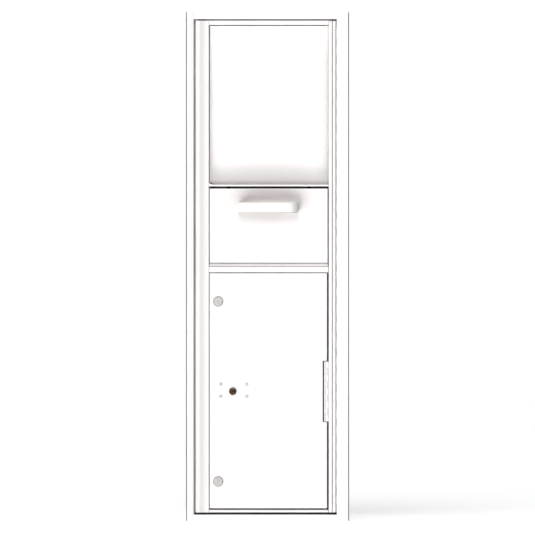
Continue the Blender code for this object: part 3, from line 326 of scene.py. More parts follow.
def add_lathe(shape, profile, x, z, steps):
    """Turns a (radius, y) profile about the line through x and z. Points on the axis close the ends."""
    rings = []
    for radius, y in profile:
        if radius < 1e-6:
            rings.append([shape.verts.new((x, y, z))])
        else:
            ring = arc((x, z), radius, 0, 360, steps)[:-1]
            rings.append([shape.verts.new((u, y, v)) for u, v in ring])
    if profile[0][0] > 1e-6:
        rings.append(rings[0])
    for a, b in zip(rings, rings[1:]):
        for i in range(steps):
            j = (i + 1) % steps
            if len(a) == 1:
                shape.faces.new((a[0], b[i], b[j]))
            elif len(b) == 1:
                shape.faces.new((a[i], b[0], a[j]))
            else:
                shape.faces.new((a[i], b[i], b[j], a[j]))


def lathe(name, profile, x, z, body, material, replaced):
    """A turned part of the lock."""
    shape = bmesh.new()
    add_lathe(shape, profile, x, z, 64)
    return piece(name, shape, body, [material], (replaced,))


def carve(obj, cutter_shape):
    """Cuts a bmesh from a piece for good."""
    mesh = bpy.data.meshes.new("cutter")
    bmesh.ops.recalc_face_normals(cutter_shape, faces=cutter_shape.faces)
    cutter_shape.to_mesh(mesh)
    cutter_shape.free()
    cutter = bpy.data.objects.new("cutter", mesh)
    SCENE.collection.objects.link(cutter)
    modifier = obj.modifiers.new("cut", "BOOLEAN")
    modifier.operation = "DIFFERENCE"
    modifier.object = cutter
    graph = bpy.context.evaluated_depsgraph_get()
    made = bpy.data.meshes.new_from_object(obj.evaluated_get(graph))
    obj.modifiers.clear()
    obj.data = made
    bpy.data.objects.remove(cutter, do_unlink=True)
    made.set_sharp_from_angle(angle=math.radians(EDGE_ANGLE))


def middle(node):
    low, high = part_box(node)
    return (low + high) / 2


# ---------------------------------------------------------------- recessed panel


def recess():
    """The drawn liner over the hopper: roof, back, cove and rounded side corners, in one sheet."""
    low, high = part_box("recess_panel")
    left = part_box("recess_left_wall")[1].x
    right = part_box("recess_right_wall")[0].x
    roof = high.z - SHEET
    lip_top = low.z + LIP_HEIGHT
    deep = high.y - SHEET  # also the cove's radius
    front = low.y + 0.0005
    centre_z = lip_top + deep
    bend = 0.008  # between the roof and the back
    at_roof, at_back, at_cove = 0.0015, 0.0050, 0.0070  # how far the side corners reach
    foot_across, foot_along = 0.0120, 0.0060
    # each row: y, z, the normal towards the opening, and the side corner's reach across and along it
    rows = [(y, roof, (0.0, -1.0), at_roof, at_roof) for y in (front, 0.02, 0.04, deep - bend)]
    for i in range(1, 7):
        t = math.radians(90 * i / 6)
        reach = at_roof + (at_back - at_roof) * i / 6
        point = (deep - bend + bend * math.sin(t), roof - bend + bend * math.cos(t))
        rows.append((*point, (-math.sin(t), -math.cos(t)), reach, reach))
    for i in range(1, 9):
        reach = at_back + (at_cove - at_back) * min(1.0, i / 3)
        rows.append((deep, roof - bend - (roof - bend - centre_z) * i / 8, (-1.0, 0.0), reach, reach))
    for i in range(1, 25):
        share = i / 24
        t = math.radians(90 * share)
        point = (deep * math.cos(t), centre_z - deep * math.sin(t))
        across = at_cove + (foot_across - at_cove) * share
        along = at_cove + (foot_along - at_cove) * share
        rows.append((*point, (-math.cos(t), math.sin(t)), across, along))
    grid = []
    for y, z, (ny, nz), across, along in rows:
        corner = []
        for k in range(9):
            a = math.radians(90 * k / 8)
            corner.append((across * (1 - math.cos(a)), along * (1 - math.sin(a))))
        row = [(left + dx, y + ny * rise, z + nz * rise) for dx, rise in corner]
        for share in (0.2, 0.4, 0.6, 0.8):
            row.append((left + across + (right - left - 2 * across) * share, y, z))
        row += [(right - dx, y + ny * rise, z + nz * rise) for dx, rise in reversed(corner)]
        grid.append(row)
    shape = bmesh.new()
    made = loft(shape, grid)
    for side, x in ((0, left), (-1, right)):  # the flat side walls
        edge = [row[side] for row in made]
        foot = shape.verts.new((x, front, edge[-1].co.z))
        shape.faces.new([*edge, foot])
    # Painted shade: the cove is darker along its foot above the lip.
    shade_tint_coat = painted_shade_coat(
        "white_coat_painted_sill_shade", WHITE, None, Vector(((left + right) / 2, 0.0, lip_top)),
        spread=(10.0, 0.2, 0.017), tint=(0.72, 0.672, 0.663), core=0.08
    )
    replaced = ("recess_panel", "recess_left_wall", "recess_right_wall")
    liner = piece("recess_liner", shape, "master_door", [shade_tint_coat], replaced, 50)
    thick = liner.modifiers.new("sheet", "SOLIDIFY")
    thick.thickness = 0.0013
    thick.offset = 1.0  # away from the opening
    return liner


def recess_lip():
    """The rolled lip in front of the cove, with its return over the hopper door."""
    low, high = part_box("recess_panel")
    face, bend = low.y, 0.0016
    top = low.z + LIP_HEIGHT
    start, back = 0.0004, 0.026  # where the upper sheet starts and the return ends, in y
    ring = [(start, top), (face + bend, top)]
    ring += arc((face + bend, top - bend), bend, 90, 180, 5)[1:]
    ring += arc((face + bend, low.z + bend), bend, 180, 270, 5)
    ring += [(back, low.z), (back, low.z + SHEET), (face + SHEET, low.z + SHEET)]
    ring += [(face + SHEET, top - SHEET), (start, top - SHEET)]
    shape = bmesh.new()
    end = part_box("left_stile")[1].x + 0.0003
    add_prism(shape, ring, (end, high.x), "X")
    for side in shape.faces:  # the return's underside, painted dark as shade
        at = side.calc_center_median()
        if at.z < low.z + SHEET * 1.1 and at.y > face + bend:
            side.material_index = 1
    # a small white flare in the lower left corner, and a dark strip of painted shade that curves along
    # it
    wide, tall = 0.0140, 0.0056
    strip_wide, strip_tall = 0.0230, 0.0190
    quarter = [(1 - u, 1 - v) for u, v in arc((0, 0), 1.0, 90, 0, 8)]
    curve = [(end + wide * u, top + tall * v) for u, v in quarter]
    shade_strip = [(end + strip_wide * u, top + strip_tall * v) for u, v in quarter]
    foot = [(end, top - 0.0004), (end + wide, top - 0.0004)]
    add_prism(shape, foot + curve, (face + 0.0002, face + 0.0016), "Y")
    count = len(shape.faces)
    add_prism(shape, [*curve, *reversed(shade_strip)], (face + 0.0008, face + 0.0018), "Y")
    shape.faces.ensure_lookup_table()
    for side in shape.faces[count:]:
        side.material_index = 1
    return piece("recess_lip", shape, "master_door", [WHITE, DARK_SHADE_COAT])


# ---------------------------------------------------------------- trim and left stile


def trim_sides():
    """The two upright trim legs, with a rounded outer edge painted dark as shade."""
    bend, small = 0.0030, 0.0006  # the outer and the inner edge
    for side, sign in (("left", -1), ("right", 1)):
        node = f"trim_{side}"
        low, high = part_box(node)
        outer = low.x if sign < 0 else high.x
        inner = high.x if sign < 0 else low.x
        ring = [(inner, high.y), (inner, low.y + small)]
        ring += [(inner + sign * small * 0.3, low.y + small * 0.3)]
        ring += [(inner + sign * small, low.y), (outer - sign * bend, low.y)]
        for u, v in arc((0, 0), bend, 0, 90, 6):
            ring.append((outer - sign * (bend - v), low.y + bend - u))
        ring.append((outer, high.y))
        if sign > 0:
            ring.reverse()
        shape = bmesh.new()
        add_prism(shape, ring, (low.z, high.z), "Z")
        shape.normal_update()
        for face in shape.faces:
            middle_x = face.calc_center_median().x
            if abs(middle_x - outer) < bend and abs(face.normal.z) < 0.5:
                face.material_index = 1
        name = f"trim_upright_{side}"
        piece(name, shape, "cabinet", [WHITE, DARK_SHADE_COAT], (node,), 40)


def groove_depth(x, start, end, depth):
    """A smooth hollow between start and end."""
    if not start < x < end:
        return 0.0
    return depth * 0.5 * (1 - math.cos(2 * math.pi * (x - start) / (end - start)))


def left_stile():
    """The channel left of the doors, with its soft pressed groove and its set-back lip."""
    low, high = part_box("left_stile")
    lip_width, lip_front, lip_back = 0.0042, 0.0100, 0.0115
    left, right, front, back = low.x + lip_width, high.x, low.y, high.y
    sheet = 0.0020
    start, end, depth = left + 0.0085, left + 0.0300, 0.0016
    stations = [start + (end - start) * i / 24 for i in range(25)]
    bend, small = 0.0024, 0.0012  # the left and the right front edge
    ring = arc((left + bend, front + bend), bend, 180, 270, 6)
    ring += [(x, front + groove_depth(x, start, end, depth)) for x in stations]
    ring += arc((right - small, front + small), small, 270, 360, 4)
    ring += [(right, back), (right - sheet, back), (right - sheet, front + sheet)]
    ring += [(x, front + sheet + groove_depth(x, start, end, depth)) for x in reversed(stations)]
    ring += [(left + sheet, front + sheet + 0.0004), (left + sheet, back), (left, back)]
    ring += [(left, lip_back), (low.x, lip_back), (low.x, lip_front), (left, lip_front)]
    shape = bmesh.new()
    add_prism(shape, ring, (low.z, high.z), "Z")
    for face in shape.faces:  # the left edge and the lip get painted shade
        at = face.calc_center_median()
        if at.x < left + 0.0018 and at.y < lip_back + 0.0010:
            face.material_index = 1
    # Painted shade: the coat is darker across the pressed groove.
    shade_tint_coat = painted_shade_coat(
        "white_coat_painted_groove_shade", WHITE, None,
        Vector(((start + end) / 2 + 0.0020, front, (low.z + high.z) / 2)),
        spread=(0.0150, 10.0, 10.0), tint=(0.78, 0.776, 0.772), core=0.05
    )
    piece("stile_left", shape, "master_door", [shade_tint_coat, EDGE_SHADE_COAT], ("left_stile",))


# ---------------------------------------------------------------- handle


def handle():
    """The bar handle: a flat bar with rounded edges, bent at both ends."""
    low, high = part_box("hopper_handle")
    half = 0.0030  # of the bar's thickness
    bend = 0.0250  # radius of its two bends
    edge = 0.0026  # radius of its long edges
    corner = 0.0036  # rounds the ends as seen from the front
    foot = high.y
    rise = (high.z - low.z) / 2
    level = (high.z + low.z) / 2
    section = []
    for u, v, start in ((half, rise, 0), (-half, rise, 90), (-half, -rise, 180), (half, -rise, 270)):
        centre = (u - math.copysign(edge, u), v - math.copysign(edge, v))
        section += arc(centre, edge, start, start + 90, 5)
    left, right, front = low.x + half, high.x - half, low.y + half

    def turn(x, start):
        points = arc((x, front + bend), bend, start, start + 90, 12)
        return [(*point, start + 90 * i / 12) for i, point in enumerate(points)]

    # the path of the bar's middle: x, y and the way its outer side faces
    path = [(left, foot, 180), (left, (foot + front + bend) / 2, 180), *turn(left + bend, 180)]
    for share in (0.25, 0.5, 0.75):
        path.append((left + bend + (right - left - 2 * bend) * share, front, 270))
    path += [*turn(right - bend, 270), (right, (foot + front + bend) / 2, 360), (right, foot, 360)]
    rows = []
    for x, y, t in path:
        out = (math.cos(math.radians(t)), math.sin(math.radians(t)))
        from_end = min(x + out[0] * half - low.x, high.x - x - out[0] * half)
        short = max(0.0, corner - from_end)
        keep = 1 - (corner - math.sqrt(max(0.0, corner * corner - short * short))) / rise
        rows.append([(x + out[0] * u, y + out[1] * u, level + v * keep) for u, v in section])
    shape = bmesh.new()
    loft(shape, rows, closed=True, caps=True)
    for face in shape.faces:  # the lower edge is painted dark as shade
        if face.calc_center_median().z < low.z + edge * 0.8:
            face.material_index = 1
    piece("handle_bar", shape, "hopper_door", [WHITE, UNDERSIDE_SHADE_COAT], ("hopper_handle",), 40)


# ---------------------------------------------------------------- hinges


def knuckle(radius, bore, sheet, reach, forward, aside, centre):
    """A rolled knuckle: the sheet comes along the barrel's aside, from reach, and curls round a bore."""
    local = [(reach, radius), *arc((0, 0), radius, 90, 390, 20)]
    local += reversed(arc((0, 0), bore, 90, 390, 20))
    local += [(bore, radius - sheet), (reach, radius - sheet)]
    ring = []
    for u, v in local:
        ring.append(tuple(centre[k] + u * forward[k] + v * aside[k] for k in (0, 1)))
    return ring


def knuckles(shape, ring, span, count, first, axis):
    """Every second length of the barrel, with a narrow gap between neighbours."""
    pitch = (span[1] - span[0]) / count
    for i in range(first, count, 2):
        start, end = span[0] + i * pitch, span[0] + (i + 1) * pitch
        add_prism(shape, ring, (start + KNUCKLE_GAP, end - KNUCKLE_GAP), axis)


def hinge_pin(name, axis, centre, span, replaced, body):
    """A pin with domed ends."""
    radius = PIN_RADIUS
    dome = [(radius * 0.45, 0.0), (radius * 0.85, radius * 0.25), (radius, radius * 0.6)]
    rows = []
    stations = [(r, span[0] + d) for r, d in dome] + [(r, span[1] - d) for r, d in reversed(dome)]
    for r, s in stations:
        ring = arc(centre, r, 0, 345, 23)
        rows.append([(s, *p) for p in ring] if axis == "X" else [(*p, s) for p in ring])
    shape = bmesh.new()
    loft(shape, rows, closed=True, caps=True)
    piece(name, shape, body, [ZINC], (replaced,), 50)


def barrel_axis(pin, axis):
    """A hinge's centre line, from its pin's box: the other two coordinates."""
    at = middle(pin)
    return (at.y, at.z) if axis == "X" else (at.x, at.y)


def master_hinge():
    """The full-height piano hinge at the right."""
    sheet = HINGE_SHEET
    centre = barrel_axis("master_hinge_pin", "Z")
    low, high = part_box("master_hinge_cabinet_leaf")
    span = (low.z, high.z)
    radius = centre[1] - low.y
    back = centre[1] + radius
    edge = centre[0] + radius + BARREL_CLEARANCE
    wall, bend = high.x, 0.0008
    plate = [(edge, back - sheet), (wall, back - sheet), (wall, high.y), (wall - sheet, high.y)]
    plate += [(wall - sheet, back + bend), (wall - sheet - bend, back), (edge, back)]
    shape = bmesh.new()
    add_prism(shape, plate, span, "Z")
    ring = knuckle(radius, HINGE_BORE, sheet, edge + sheet - centre[0], (1, 0), (0, 1), centre)
    knuckles(shape, ring, span, MASTER_KNUCKLES, 0, "Z")
    piece("master_hinge_outer_leaf", shape, "cabinet", [WHITE], ("master_hinge_cabinet_leaf",))
    low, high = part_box("master_hinge_door_leaf")
    left, right = low.x, low.x + sheet
    plate = [(left, back - sheet), (right, back - sheet), (right, high.y), (left, high.y)]
    shape = bmesh.new()
    add_prism(shape, plate, span, "Z")
    reach = centre[0] - low.x - sheet / 2
    ring = knuckle(radius, HINGE_BORE, sheet, reach, (-1, 0), (0, 1), centre)
    knuckles(shape, ring, span, MASTER_KNUCKLES, 1, "Z")
    piece("master_hinge_inner_leaf", shape, "master_door", [WHITE], ("master_hinge_door_leaf",))
    hinge_pin("master_pin", "Z", centre, span, "master_hinge_pin", "cabinet")


def hopper_hinge():
    """The hinge along the hopper door's lower edge. Its end knuckles run on past the door's leaf."""
    sheet = HINGE_SHEET
    centre = barrel_axis("hopper_hinge_pin", "X")
    low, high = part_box("hopper_hinge_rail_leaf")
    door_low, door_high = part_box("hopper_hinge_door_leaf")
    span = (door_low.x, door_high.x)
    radius = centre[0] - low.y
    edge = centre[0] + radius + BARREL_CLEARANCE
    reach = radius + BARREL_CLEARANCE + sheet
    overlap = 0.0001
    shape = bmesh.new()
    plate = [(edge, low.z), (high.y, low.z), (high.y, low.z + sheet), (edge, low.z + sheet)]
    add_prism(shape, plate, span, "X")
    ring = knuckle(radius, HINGE_BORE, sheet, reach, (1, 0), (0, -1), centre)
    knuckles(shape, ring, span, HOPPER_KNUCKLES, 0, "X")
    add_prism(shape, ring, (low.x, span[0] + overlap), "X")
    add_prism(shape, ring, (span[1] - overlap, high.x), "X")
    replaced = ("hopper_hinge_rail_leaf",)
    # Both leaves take a greyer coat, painted shade on the barrel.
    piece("hopper_hinge_lower_leaf", shape, "master_door", [HINGE_SHADE_COAT], replaced)
    top, back = door_high.z, door_high.y
    shape = bmesh.new()
    plate = [(edge, top - sheet), (back, top - sheet), (back, top), (edge, top)]
    add_prism(shape, plate, span, "X")
    ring = knuckle(radius, HINGE_BORE, sheet, reach, (1, 0), (0, 1), centre)
    ring = [(y, min(z, top)) for y, z in ring]
    knuckles(shape, ring, span, HOPPER_KNUCKLES, 1, "X")
    foot = centre[1] + radius - sheet
    rise = [(edge, foot), (edge + sheet, foot), (edge + sheet, top), (edge, top)]
    knuckles(shape, rise, span, HOPPER_KNUCKLES, 1, "X")
    replaced = ("hopper_hinge_door_leaf",)
    piece("hopper_hinge_upper_leaf", shape, "hopper_door", [HINGE_SHADE_COAT], replaced)
    low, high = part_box("hopper_hinge_pin")
    hinge_pin("hopper_pin", "X", centre, (low.x, high.x), "hopper_hinge_pin", "master_door")


def access_hinge():
    """The short hinge in the notch, with finer knuckles than the CAD leaves."""
    bore, sheet = 0.0017, 0.0013
    centre = barrel_axis("access_hinge_pin", "Z")
    low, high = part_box("access_hinge_door_leaf")
    span = (low.z, high.z)
    front, back = low.y, high.y
    radius = centre[1] - front
    clear = radius + BARREL_CLEARANCE
    near, far = centre[0] - clear, centre[0] + clear
    reach = clear + sheet / 2
    step = low.x + 0.0034  # the leaf steps back here, beside the notch's slot
    ring = [(near, front), (near, front + sheet), (step + sheet, front + sheet), (step + sheet, back)]
    ring += [(low.x, back), (low.x, back - sheet), (step, back - sheet), (step, front + 0.0008)]
    ring += [(step + 0.0003, front + 0.0002), (step + 0.0008, front)]
    shape = bmesh.new()
    add_prism(shape, ring, span, "Z")
    ring = knuckle(radius, bore, sheet, reach, (-1, 0), (0, -1), centre)
    knuckles(shape, ring, span, ACCESS_KNUCKLES, 1, "Z")
    for face in shape.faces:  # what shows in the slot, painted dark as shade
        if face.calc_center_median().x < step + 0.0001:
            face.material_index = 1
    replaced = ("access_hinge_door_leaf",)
    piece("access_hinge_inner_leaf", shape, "access_door", [WHITE, DARK_SHADE_COAT], replaced)
    low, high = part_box("access_hinge_frame_leaf")
    flat = front + 0.0004
    shape = bmesh.new()
    add_prism(shape, [(far, flat), (high.x, flat), (high.x, high.y), (far, high.y)], span, "Z")
    ring = knuckle(radius, bore, sheet, reach, (1, 0), (0, -1), centre)
    knuckles(shape, ring, span, ACCESS_KNUCKLES, 0, "Z")
    replaced = ("access_hinge_frame_leaf",)
    piece("access_hinge_outer_leaf", shape, "master_door", [WHITE], replaced)
    hinge_pin("access_pin", "Z", centre, span, "access_hinge_pin", "master_door")


# ---------------------------------------------------------------- lock, discs, rivets


def lock():
    """The lock's threaded body and its plug with a keyway."""
    low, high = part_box("lock_body")
    at = middle("lock_body")
    x, z = at.x, at.z
    front, back = low.y, high.y
    bezel = (high.x - low.x) / 2
    shank, bore = 0.0093, 0.0076
    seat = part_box("access_door_panel")[0].y - 0.0002
    thread, thread_depth, pitch = 0.0085, 0.0004, 0.0010  # the thread starts behind the nut's seat
    ring = [(bore, front + 0.0012), (bore + 0.0006, front + 0.0004), (bore + 0.0012, front + 0.0002)]
    ring += [(bezel - 0.0014, front), (bezel - 0.0005, front + 0.0005), (bezel - 0.0001, front + 0.0013)]
    ring += [(bezel, front + 0.0020), (bezel, seat), (shank, seat)]
    for i in range(int((back - 0.0010 - thread) / pitch)):
        y = thread + i * pitch
        ring += [(shank, y), (shank - thread_depth, y + pitch / 2)]
    ring += [(shank, back), (bore, back)]
    lathe("lock_cylinder", ring, x, z, "access_door", BRONZE, "lock_body")
    low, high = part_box("lock_plug")
    radius = (high.x - low.x) / 2
    face = low.y + 0.0005
    tail = 0.0040
    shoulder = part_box("lock_cam")[0].y - 0.0003
    ring = [(0, face - 0.0003), (radius * 0.62, face - 0.0002), (radius * 0.74, face + 0.0005)]
    ring += [(radius - 0.0008, face + 0.0005), (radius - 0.0002, face + 0.0008), (radius, face + 0.0016)]
    ring += [(radius, shoulder), (tail, shoulder)]
    ring += [(tail, high.y - 0.0005), (tail - 0.0006, high.y), (0, high.y)]
    plug = lathe("lock_core", ring, x, z, "lock_plug", PLUG_BRONZE, "lock_plug")
    wide, tall = 0.0009, 0.0038  # half the keyway
    keyway = [(-wide, -tall), (wide, -tall), (wide, -0.0012), (0.0015, -0.0006), (wide, 0.0002)]
    keyway += [(wide, tall), (-wide, tall), (-wide, 0.0016), (-0.0014, 0.0010), (-wide, 0.0004)]
    cut = bmesh.new()
    add_prism(cut, [(x + u, z + v) for u, v in keyway], (face - 0.002, face + 0.0062), "Y")
    carve(plug, cut)


def guide_discs():
    """The latch bar's two shouldered studs, whose flat heads show on the access door."""
    shank, tail = 0.0070, 0.0040
    for name in ("lower", "upper"):
        node = f"latch_guide_{name}"
        low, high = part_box(node)
        at = middle(node)
        head = (high.x - low.x) / 2
        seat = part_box("access_door_panel")[0].y - 0.0003
        front = low.y
        ring = [(0, front + 0.0001), (head * 0.5, front + 0.00005), (head - 0.0024, front)]
        ring += [(head - 0.0012, front + 0.0002), (head - 0.0004, front + 0.0007)]
        ring += [(head, front + 0.0014), (head, seat)]
        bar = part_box("latch_bar")[0].y - 0.0003
        ring += [(shank, seat), (shank, bar - 0.0005), (shank - 0.0004, bar), (tail, bar)]
        thread = bar + 0.0040
        while thread < high.y - 0.0014:
            ring += [(tail, thread), (tail - 0.0005, thread + 0.00045)]
            thread += 0.0009
        ring += [(tail, high.y - 0.0008), (tail - 0.0007, high.y), (0, high.y)]
        shape = bmesh.new()
        add_lathe(shape, ring, at.x, at.z, 72)
        for face in shape.faces:  # the head's rim, painted darker as shade
            spot = face.calc_center_median()
            if spot.y < seat and math.hypot(spot.x - at.x, spot.z - at.z) > head - 0.0020:
                face.material_index = 1
        piece(f"guide_disc_{name}", shape, "access_door", [DISC_ZINC, RIM_SHADE_ZINC], (node,))


def lock_plate():
    """The plate behind the lock with its four domed rivets."""
    low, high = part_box("lock_support_plate")
    front, back = low.y, high.y
    plate_front = back - 0.0015
    corner, hole_radius = 0.004, 0.0098
    x, z = middle("lock_body").x, middle("lock_body").z
    outer = []
    corners = ((high.x, high.z, 0), (low.x, high.z, 90), (low.x, low.z, 180), (high.x, low.z, 270))
    for u, v, start in corners:
        inset = (u - math.copysign(corner, u - x), v - math.copysign(corner, v - z))
        outer += arc(inset, corner, start, start + 90, 5)
    hole = []
    for u, v in outer:  # a hole point towards each outer point keeps the faces tidy
        t = math.atan2(v - z, u - x)
        hole.append((x + hole_radius * math.cos(t), z + hole_radius * math.sin(t)))
    rings = [(outer, plate_front), (outer, back), (hole, back), (hole, plate_front)]
    rings.append(rings[0])
    shape = bmesh.new()
    loft(shape, [[(u, y, v) for u, v in ring] for ring, y in rings], closed=True)
    bmesh.ops.remove_doubles(shape, verts=shape.verts, dist=1e-6)
    inset, shank = 0.0080, 0.0024
    seat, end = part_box("access_door_panel")[0].y - 0.0003, plate_front + 0.0005
    rivet = [(0, front), (0.0018, front + 0.0001), (0.0034, front + 0.0005), (0.0045, front + 0.0009)]
    rivet += [(0.0050, seat), (shank, seat), (shank, end), (0, end)]
    for rivet_x in (low.x + inset, high.x - inset):
        for rivet_z in (low.z + inset, high.z - inset):
            add_lathe(shape, rivet, rivet_x, rivet_z, 32)
    piece("lock_plate", shape, "access_door", [DISC_ZINC], ("lock_support_plate",))


# ---------------------------------------------------------------- springs


def springs():
    """Closing springs: close-wound coils with a hook at each end, stretched between the two posts."""
    coil, wire = 0.0019, 0.00045
    neck = 0.0018  # from a post to the middle of its hook
    turns, steps_per_turn = 34, 12
    inset = 0.0045  # where the coils start
    for side in ("left", "right"):
        node = f"hopper_spring_{side}"
        low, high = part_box(node)
        x = (low.x + high.x) / 2
        start = Vector((x, low.y + coil, high.z - coil))
        end = Vector((x, high.y - coil, low.z + coil))
        along = (end - start).normalized()
        across = Vector((0, -along.z, along.y))
        length = (end - start).length
        points = []
        for i in range(9):  # the hook on the wing's post
            t = math.radians(-200 + 200 * i / 8)
            points.append(start + along * (-neck + coil * math.cos(t)) + across * coil * math.sin(t))
        steps = turns * steps_per_turn
        for i in range(steps + 1):
            t = 2 * math.pi * i / steps_per_turn
            s = inset + (length - 2 * inset) * i / steps
            swing = across * coil * math.cos(t) + Vector((coil * math.sin(t), 0, 0))
            points.append(start + along * s + swing)
        for i in range(9):  # the hook on the cheek's post
            t = math.radians(180 + 200 * i / 8)
            points.append(end + along * (neck + coil * math.cos(t)) + across * coil * math.sin(t))
        rows = []
        for i, point in enumerate(points):
            ahead = (points[min(i + 1, len(points) - 1)] - points[max(i - 1, 0)]).normalized()
            u = ahead.cross(Vector((0.37, 0.61, 0.70))).normalized()  # any direction off the wire's own
            v = ahead.cross(u)
            rows.append([point + u * a + v * b for a, b in arc((0, 0), wire, 0, 300, 5)])
        shape = bmesh.new()
        loft(shape, rows, closed=True, caps=True)
        made = piece(f"closing_spring_{side}", shape, None, [SPRING_STEEL], (node,), 60)
        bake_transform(made)


# ---------------------------------------------------------------- stage


BACKDROP = 1.04  # the world as the camera sees it
AMBIENT = 0.04  # the world as a light
FLOOR_GLOW = 0.555  # keeps the floor as pale as the backdrop
WARM = (1.0, 0.988, 0.984)
# Soft lights, each: elevation, azimuth, brightness on a surface that faces it, softness.
# KEY and RECESS_LIGHTS began as the output of a separate program, which fitted single lights to the
# photo's tones. That output was merged in pairs, rounded and then adjusted by hand.
KEY = (
    (-32, -28, 0.54, 36),
    (-33, -61, 0.24, 38),
    (-42, 2, 0.23, 38),
    (-50, -35, 0.07, 38),
    (-41, 38, 0.07, 38),
    (31, -8, 0.37, 36),
)
RECESS_LIGHTS = (
    (-52, 4, 0.50, 44),
    (-12, 1, 0.54, 60),
    (-10, -12, 0.10, 40),
    (-5, 12, 0.12, 50),
)
FLOOR_LIGHTS = (
    (58, -25, 0.50, 50),
)
TOP_LIGHTS = (
    (60, -8, 0.15, 40),
)
SIDE_LIGHTS = (
    (8, 125, 0.66, 50),
    (8, -125, 0.30, 50),
    (30, 180, 0.06, 60),
    (62, 170, 0.42, 60),
)


def towards(elevation, azimuth):
    """The direction to a light: azimuth 0 is straight in front, positive to the right."""
    e, a = math.radians(elevation), math.radians(azimuth)
    return Vector((math.sin(a) * math.cos(e), -math.cos(a) * math.cos(e), math.sin(e)))


def suns(label, table, receivers):
    """The broad soft lights of one table. Their receivers say what they light."""
    for i, (elevation, azimuth, level, softness) in enumerate(table):
        light = bpy.data.lights.new(f"{label}_{i}", "SUN")
        light.energy = level * math.pi
        light.angle = math.radians(softness)
        light.color = WARM
        lamp = bpy.data.objects.new(f"{label}_{i}", light)
        lamp.rotation_mode = "QUATERNION"
        lamp.rotation_quaternion = towards(elevation, azimuth).to_track_quat("Z", "Y")
        SCENE.collection.objects.link(lamp)
        lamp.light_linking.receiver_collection = receivers


def group(name, objects, state):
    """A collection that includes its objects in some lights, or excludes them."""
    made = bpy.data.collections.new(name)
    for obj in objects:
        made.objects.link(obj)
    for link in made.collection_objects:
        link.light_linking.link_state = state
    return made


def stage(liner):
    """A pale floor, a plain backdrop and the lights. The recess's liner has lights of its own."""
    half = 14.0
    level = CAD_BOX[0].z - 0.0004
    shape = bmesh.new()
    loft(shape, [[(-half, y, level), (half, y, level)] for y in (-half, half)])
    mesh = bpy.data.meshes.new("floor")
    shape.to_mesh(mesh)
    shape.free()
    floor = bpy.data.objects.new("floor", mesh)
    SCENE.collection.objects.link(floor)
    t = Tree("floor_paper")
    tone = t.ramp(t.noise(0.9, 2.0), (0.80, 0.80, 0.80), (0.82, 0.82, 0.82))
    t.surface(Base_Color=tone, Roughness=0.9, Emission_Color=(1, 1, 1, 1), Emission_Strength=FLOOR_GLOW)
    mesh.materials.append(t.material)
    floor.visible_shadow = False
    floor.visible_diffuse = False
    floor.visible_glossy = False

    world = bpy.data.worlds.new("studio")
    SCENE.world = world
    world.use_nodes = True
    nodes, links = world.node_tree.nodes, world.node_tree.links
    seen = nodes["Background"]
    seen.inputs["Color"].default_value = (1, 1, 1, 1)
    seen.inputs["Strength"].default_value = BACKDROP
    ambient = nodes.new("ShaderNodeBackground")
    ambient.inputs["Color"].default_value = (1, 1, 1, 1)
    ambient.inputs["Strength"].default_value = AMBIENT
    choose = nodes.new("ShaderNodeMixShader")
    path = nodes.new("ShaderNodeLightPath")
    links.new(path.outputs["Is Camera Ray"], choose.inputs["Fac"])
    links.new(ambient.outputs[0], choose.inputs[1])
    links.new(seen.outputs[0], choose.inputs[2])
    links.new(choose.outputs[0], nodes["World Output"].inputs["Surface"])

    suns("key", KEY, group("lit_by_key", [liner, floor], "EXCLUDE"))
    suns("recess", RECESS_LIGHTS, group("lit_in_recess", [liner], "INCLUDE"))
    suns("sides", SIDE_LIGHTS, group("lit_from_behind", [floor], "EXCLUDE"))
    suns("top", TOP_LIGHTS, None)
    suns("floor", FLOOR_LIGHTS, group("lit_floor", [floor], "INCLUDE"))


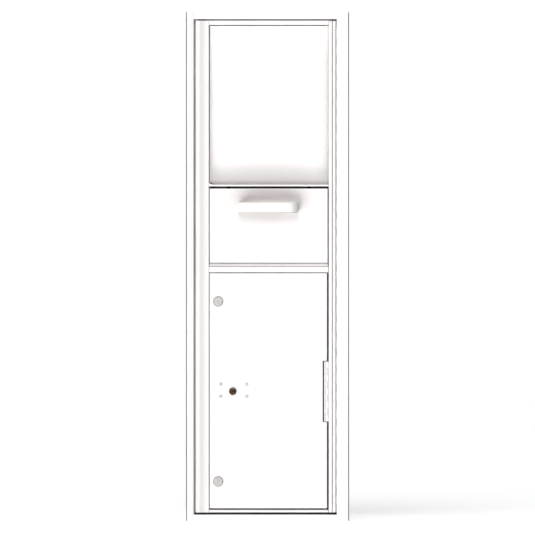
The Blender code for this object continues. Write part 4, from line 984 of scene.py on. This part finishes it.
def camera():
    """The photo's view: straight on, from far away."""
    lens, sensor = 300.0, 36.0
    field = 1.563805  # the width of the view at the doors' front
    level = 0.7240
    data = bpy.data.cameras.new("camera")
    data.lens = lens
    data.sensor_width = sensor
    data.clip_end = 100.0
    cam = bpy.data.objects.new("camera", data)
    cam.location = (0.0003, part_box("left_stile")[0].y - field * lens / sensor, level)
    cam.rotation_euler = (math.pi / 2, 0, 0)
    SCENE.collection.objects.link(cam)
    SCENE.camera = cam


# ---------------------------------------------------------------- build


SCENE.view_settings.view_transform = "Standard"
liner = recess()
recess_lip()
trim_sides()
left_stile()
handle()
master_hinge()
hopper_hinge()
access_hinge()
lock()
guide_discs()
lock_plate()
springs()
dress(("trim_top", "trim_bottom"), [WHITE, EDGE_SHADE_COAT], 0.0010, 3, 0)
# Where the edge material is 1, the rounded edges get painted edge shade.
dress(("right_stile", "bottom_rail", "middle_rail", "top_rail"), [WHITE, EDGE_SHADE_COAT], 0.0012, 3, 1)
hand = middle("hopper_handle")
# Painted shadow: a soft darker patch round the handle, strongest just above it.
handle_shadow_coat = painted_shade_coat(
    "white_coat_painted_handle_shadow", WHITE, NODES["hopper_door_panel"], Vector((hand.x, 0.0, hand.z + 0.021)),
    spread=(0.155, 1.0, 0.078), tint=(0.78, 0.744, 0.737)
)
dress(("hopper_door_panel",), [handle_shadow_coat, EDGE_SHADE_COAT], 0.0013, 3, 1, 100)
dress(("access_door_panel",), [WHITE, EDGE_SHADE_COAT], 0.0013, 3, 1, 100)
dress(
    ("cabinet_left_panel", "cabinet_right_panel", "cabinet_top_panel", "cabinet_bottom_panel",
     "cabinet_back_panel"),
    [WHITE, EDGE_SHADE_COAT], 0.0006, 2, 1
)
dress(
    ("cabinet_shelf", "bin_left_cheek", "bin_right_cheek", "fishing_guard", "hopper_left_wing",
     "hopper_right_wing", "hopper_tray", "access_door_stiffener"),
    [INNER_WHITE, EDGE_SHADE_COAT], 0.0004, 2, 1
)
dress(("hopper_bumper_left", "hopper_bumper_right"), [RUBBER], 0.0012, 3)
dress(
    ("master_latch_keeper", "latch_keeper_lower", "latch_keeper_middle", "latch_keeper_upper",
     "master_latch_plate", "master_latch_pivot", "master_latch_lever", "latch_bar", "lock_cam",
     "lock_nut", "latch_nut_lower", "latch_nut_upper", "handle_screw_left", "handle_screw_right"),
    [ZINC], 0.0003, 2
)
stage(liner)
camera()
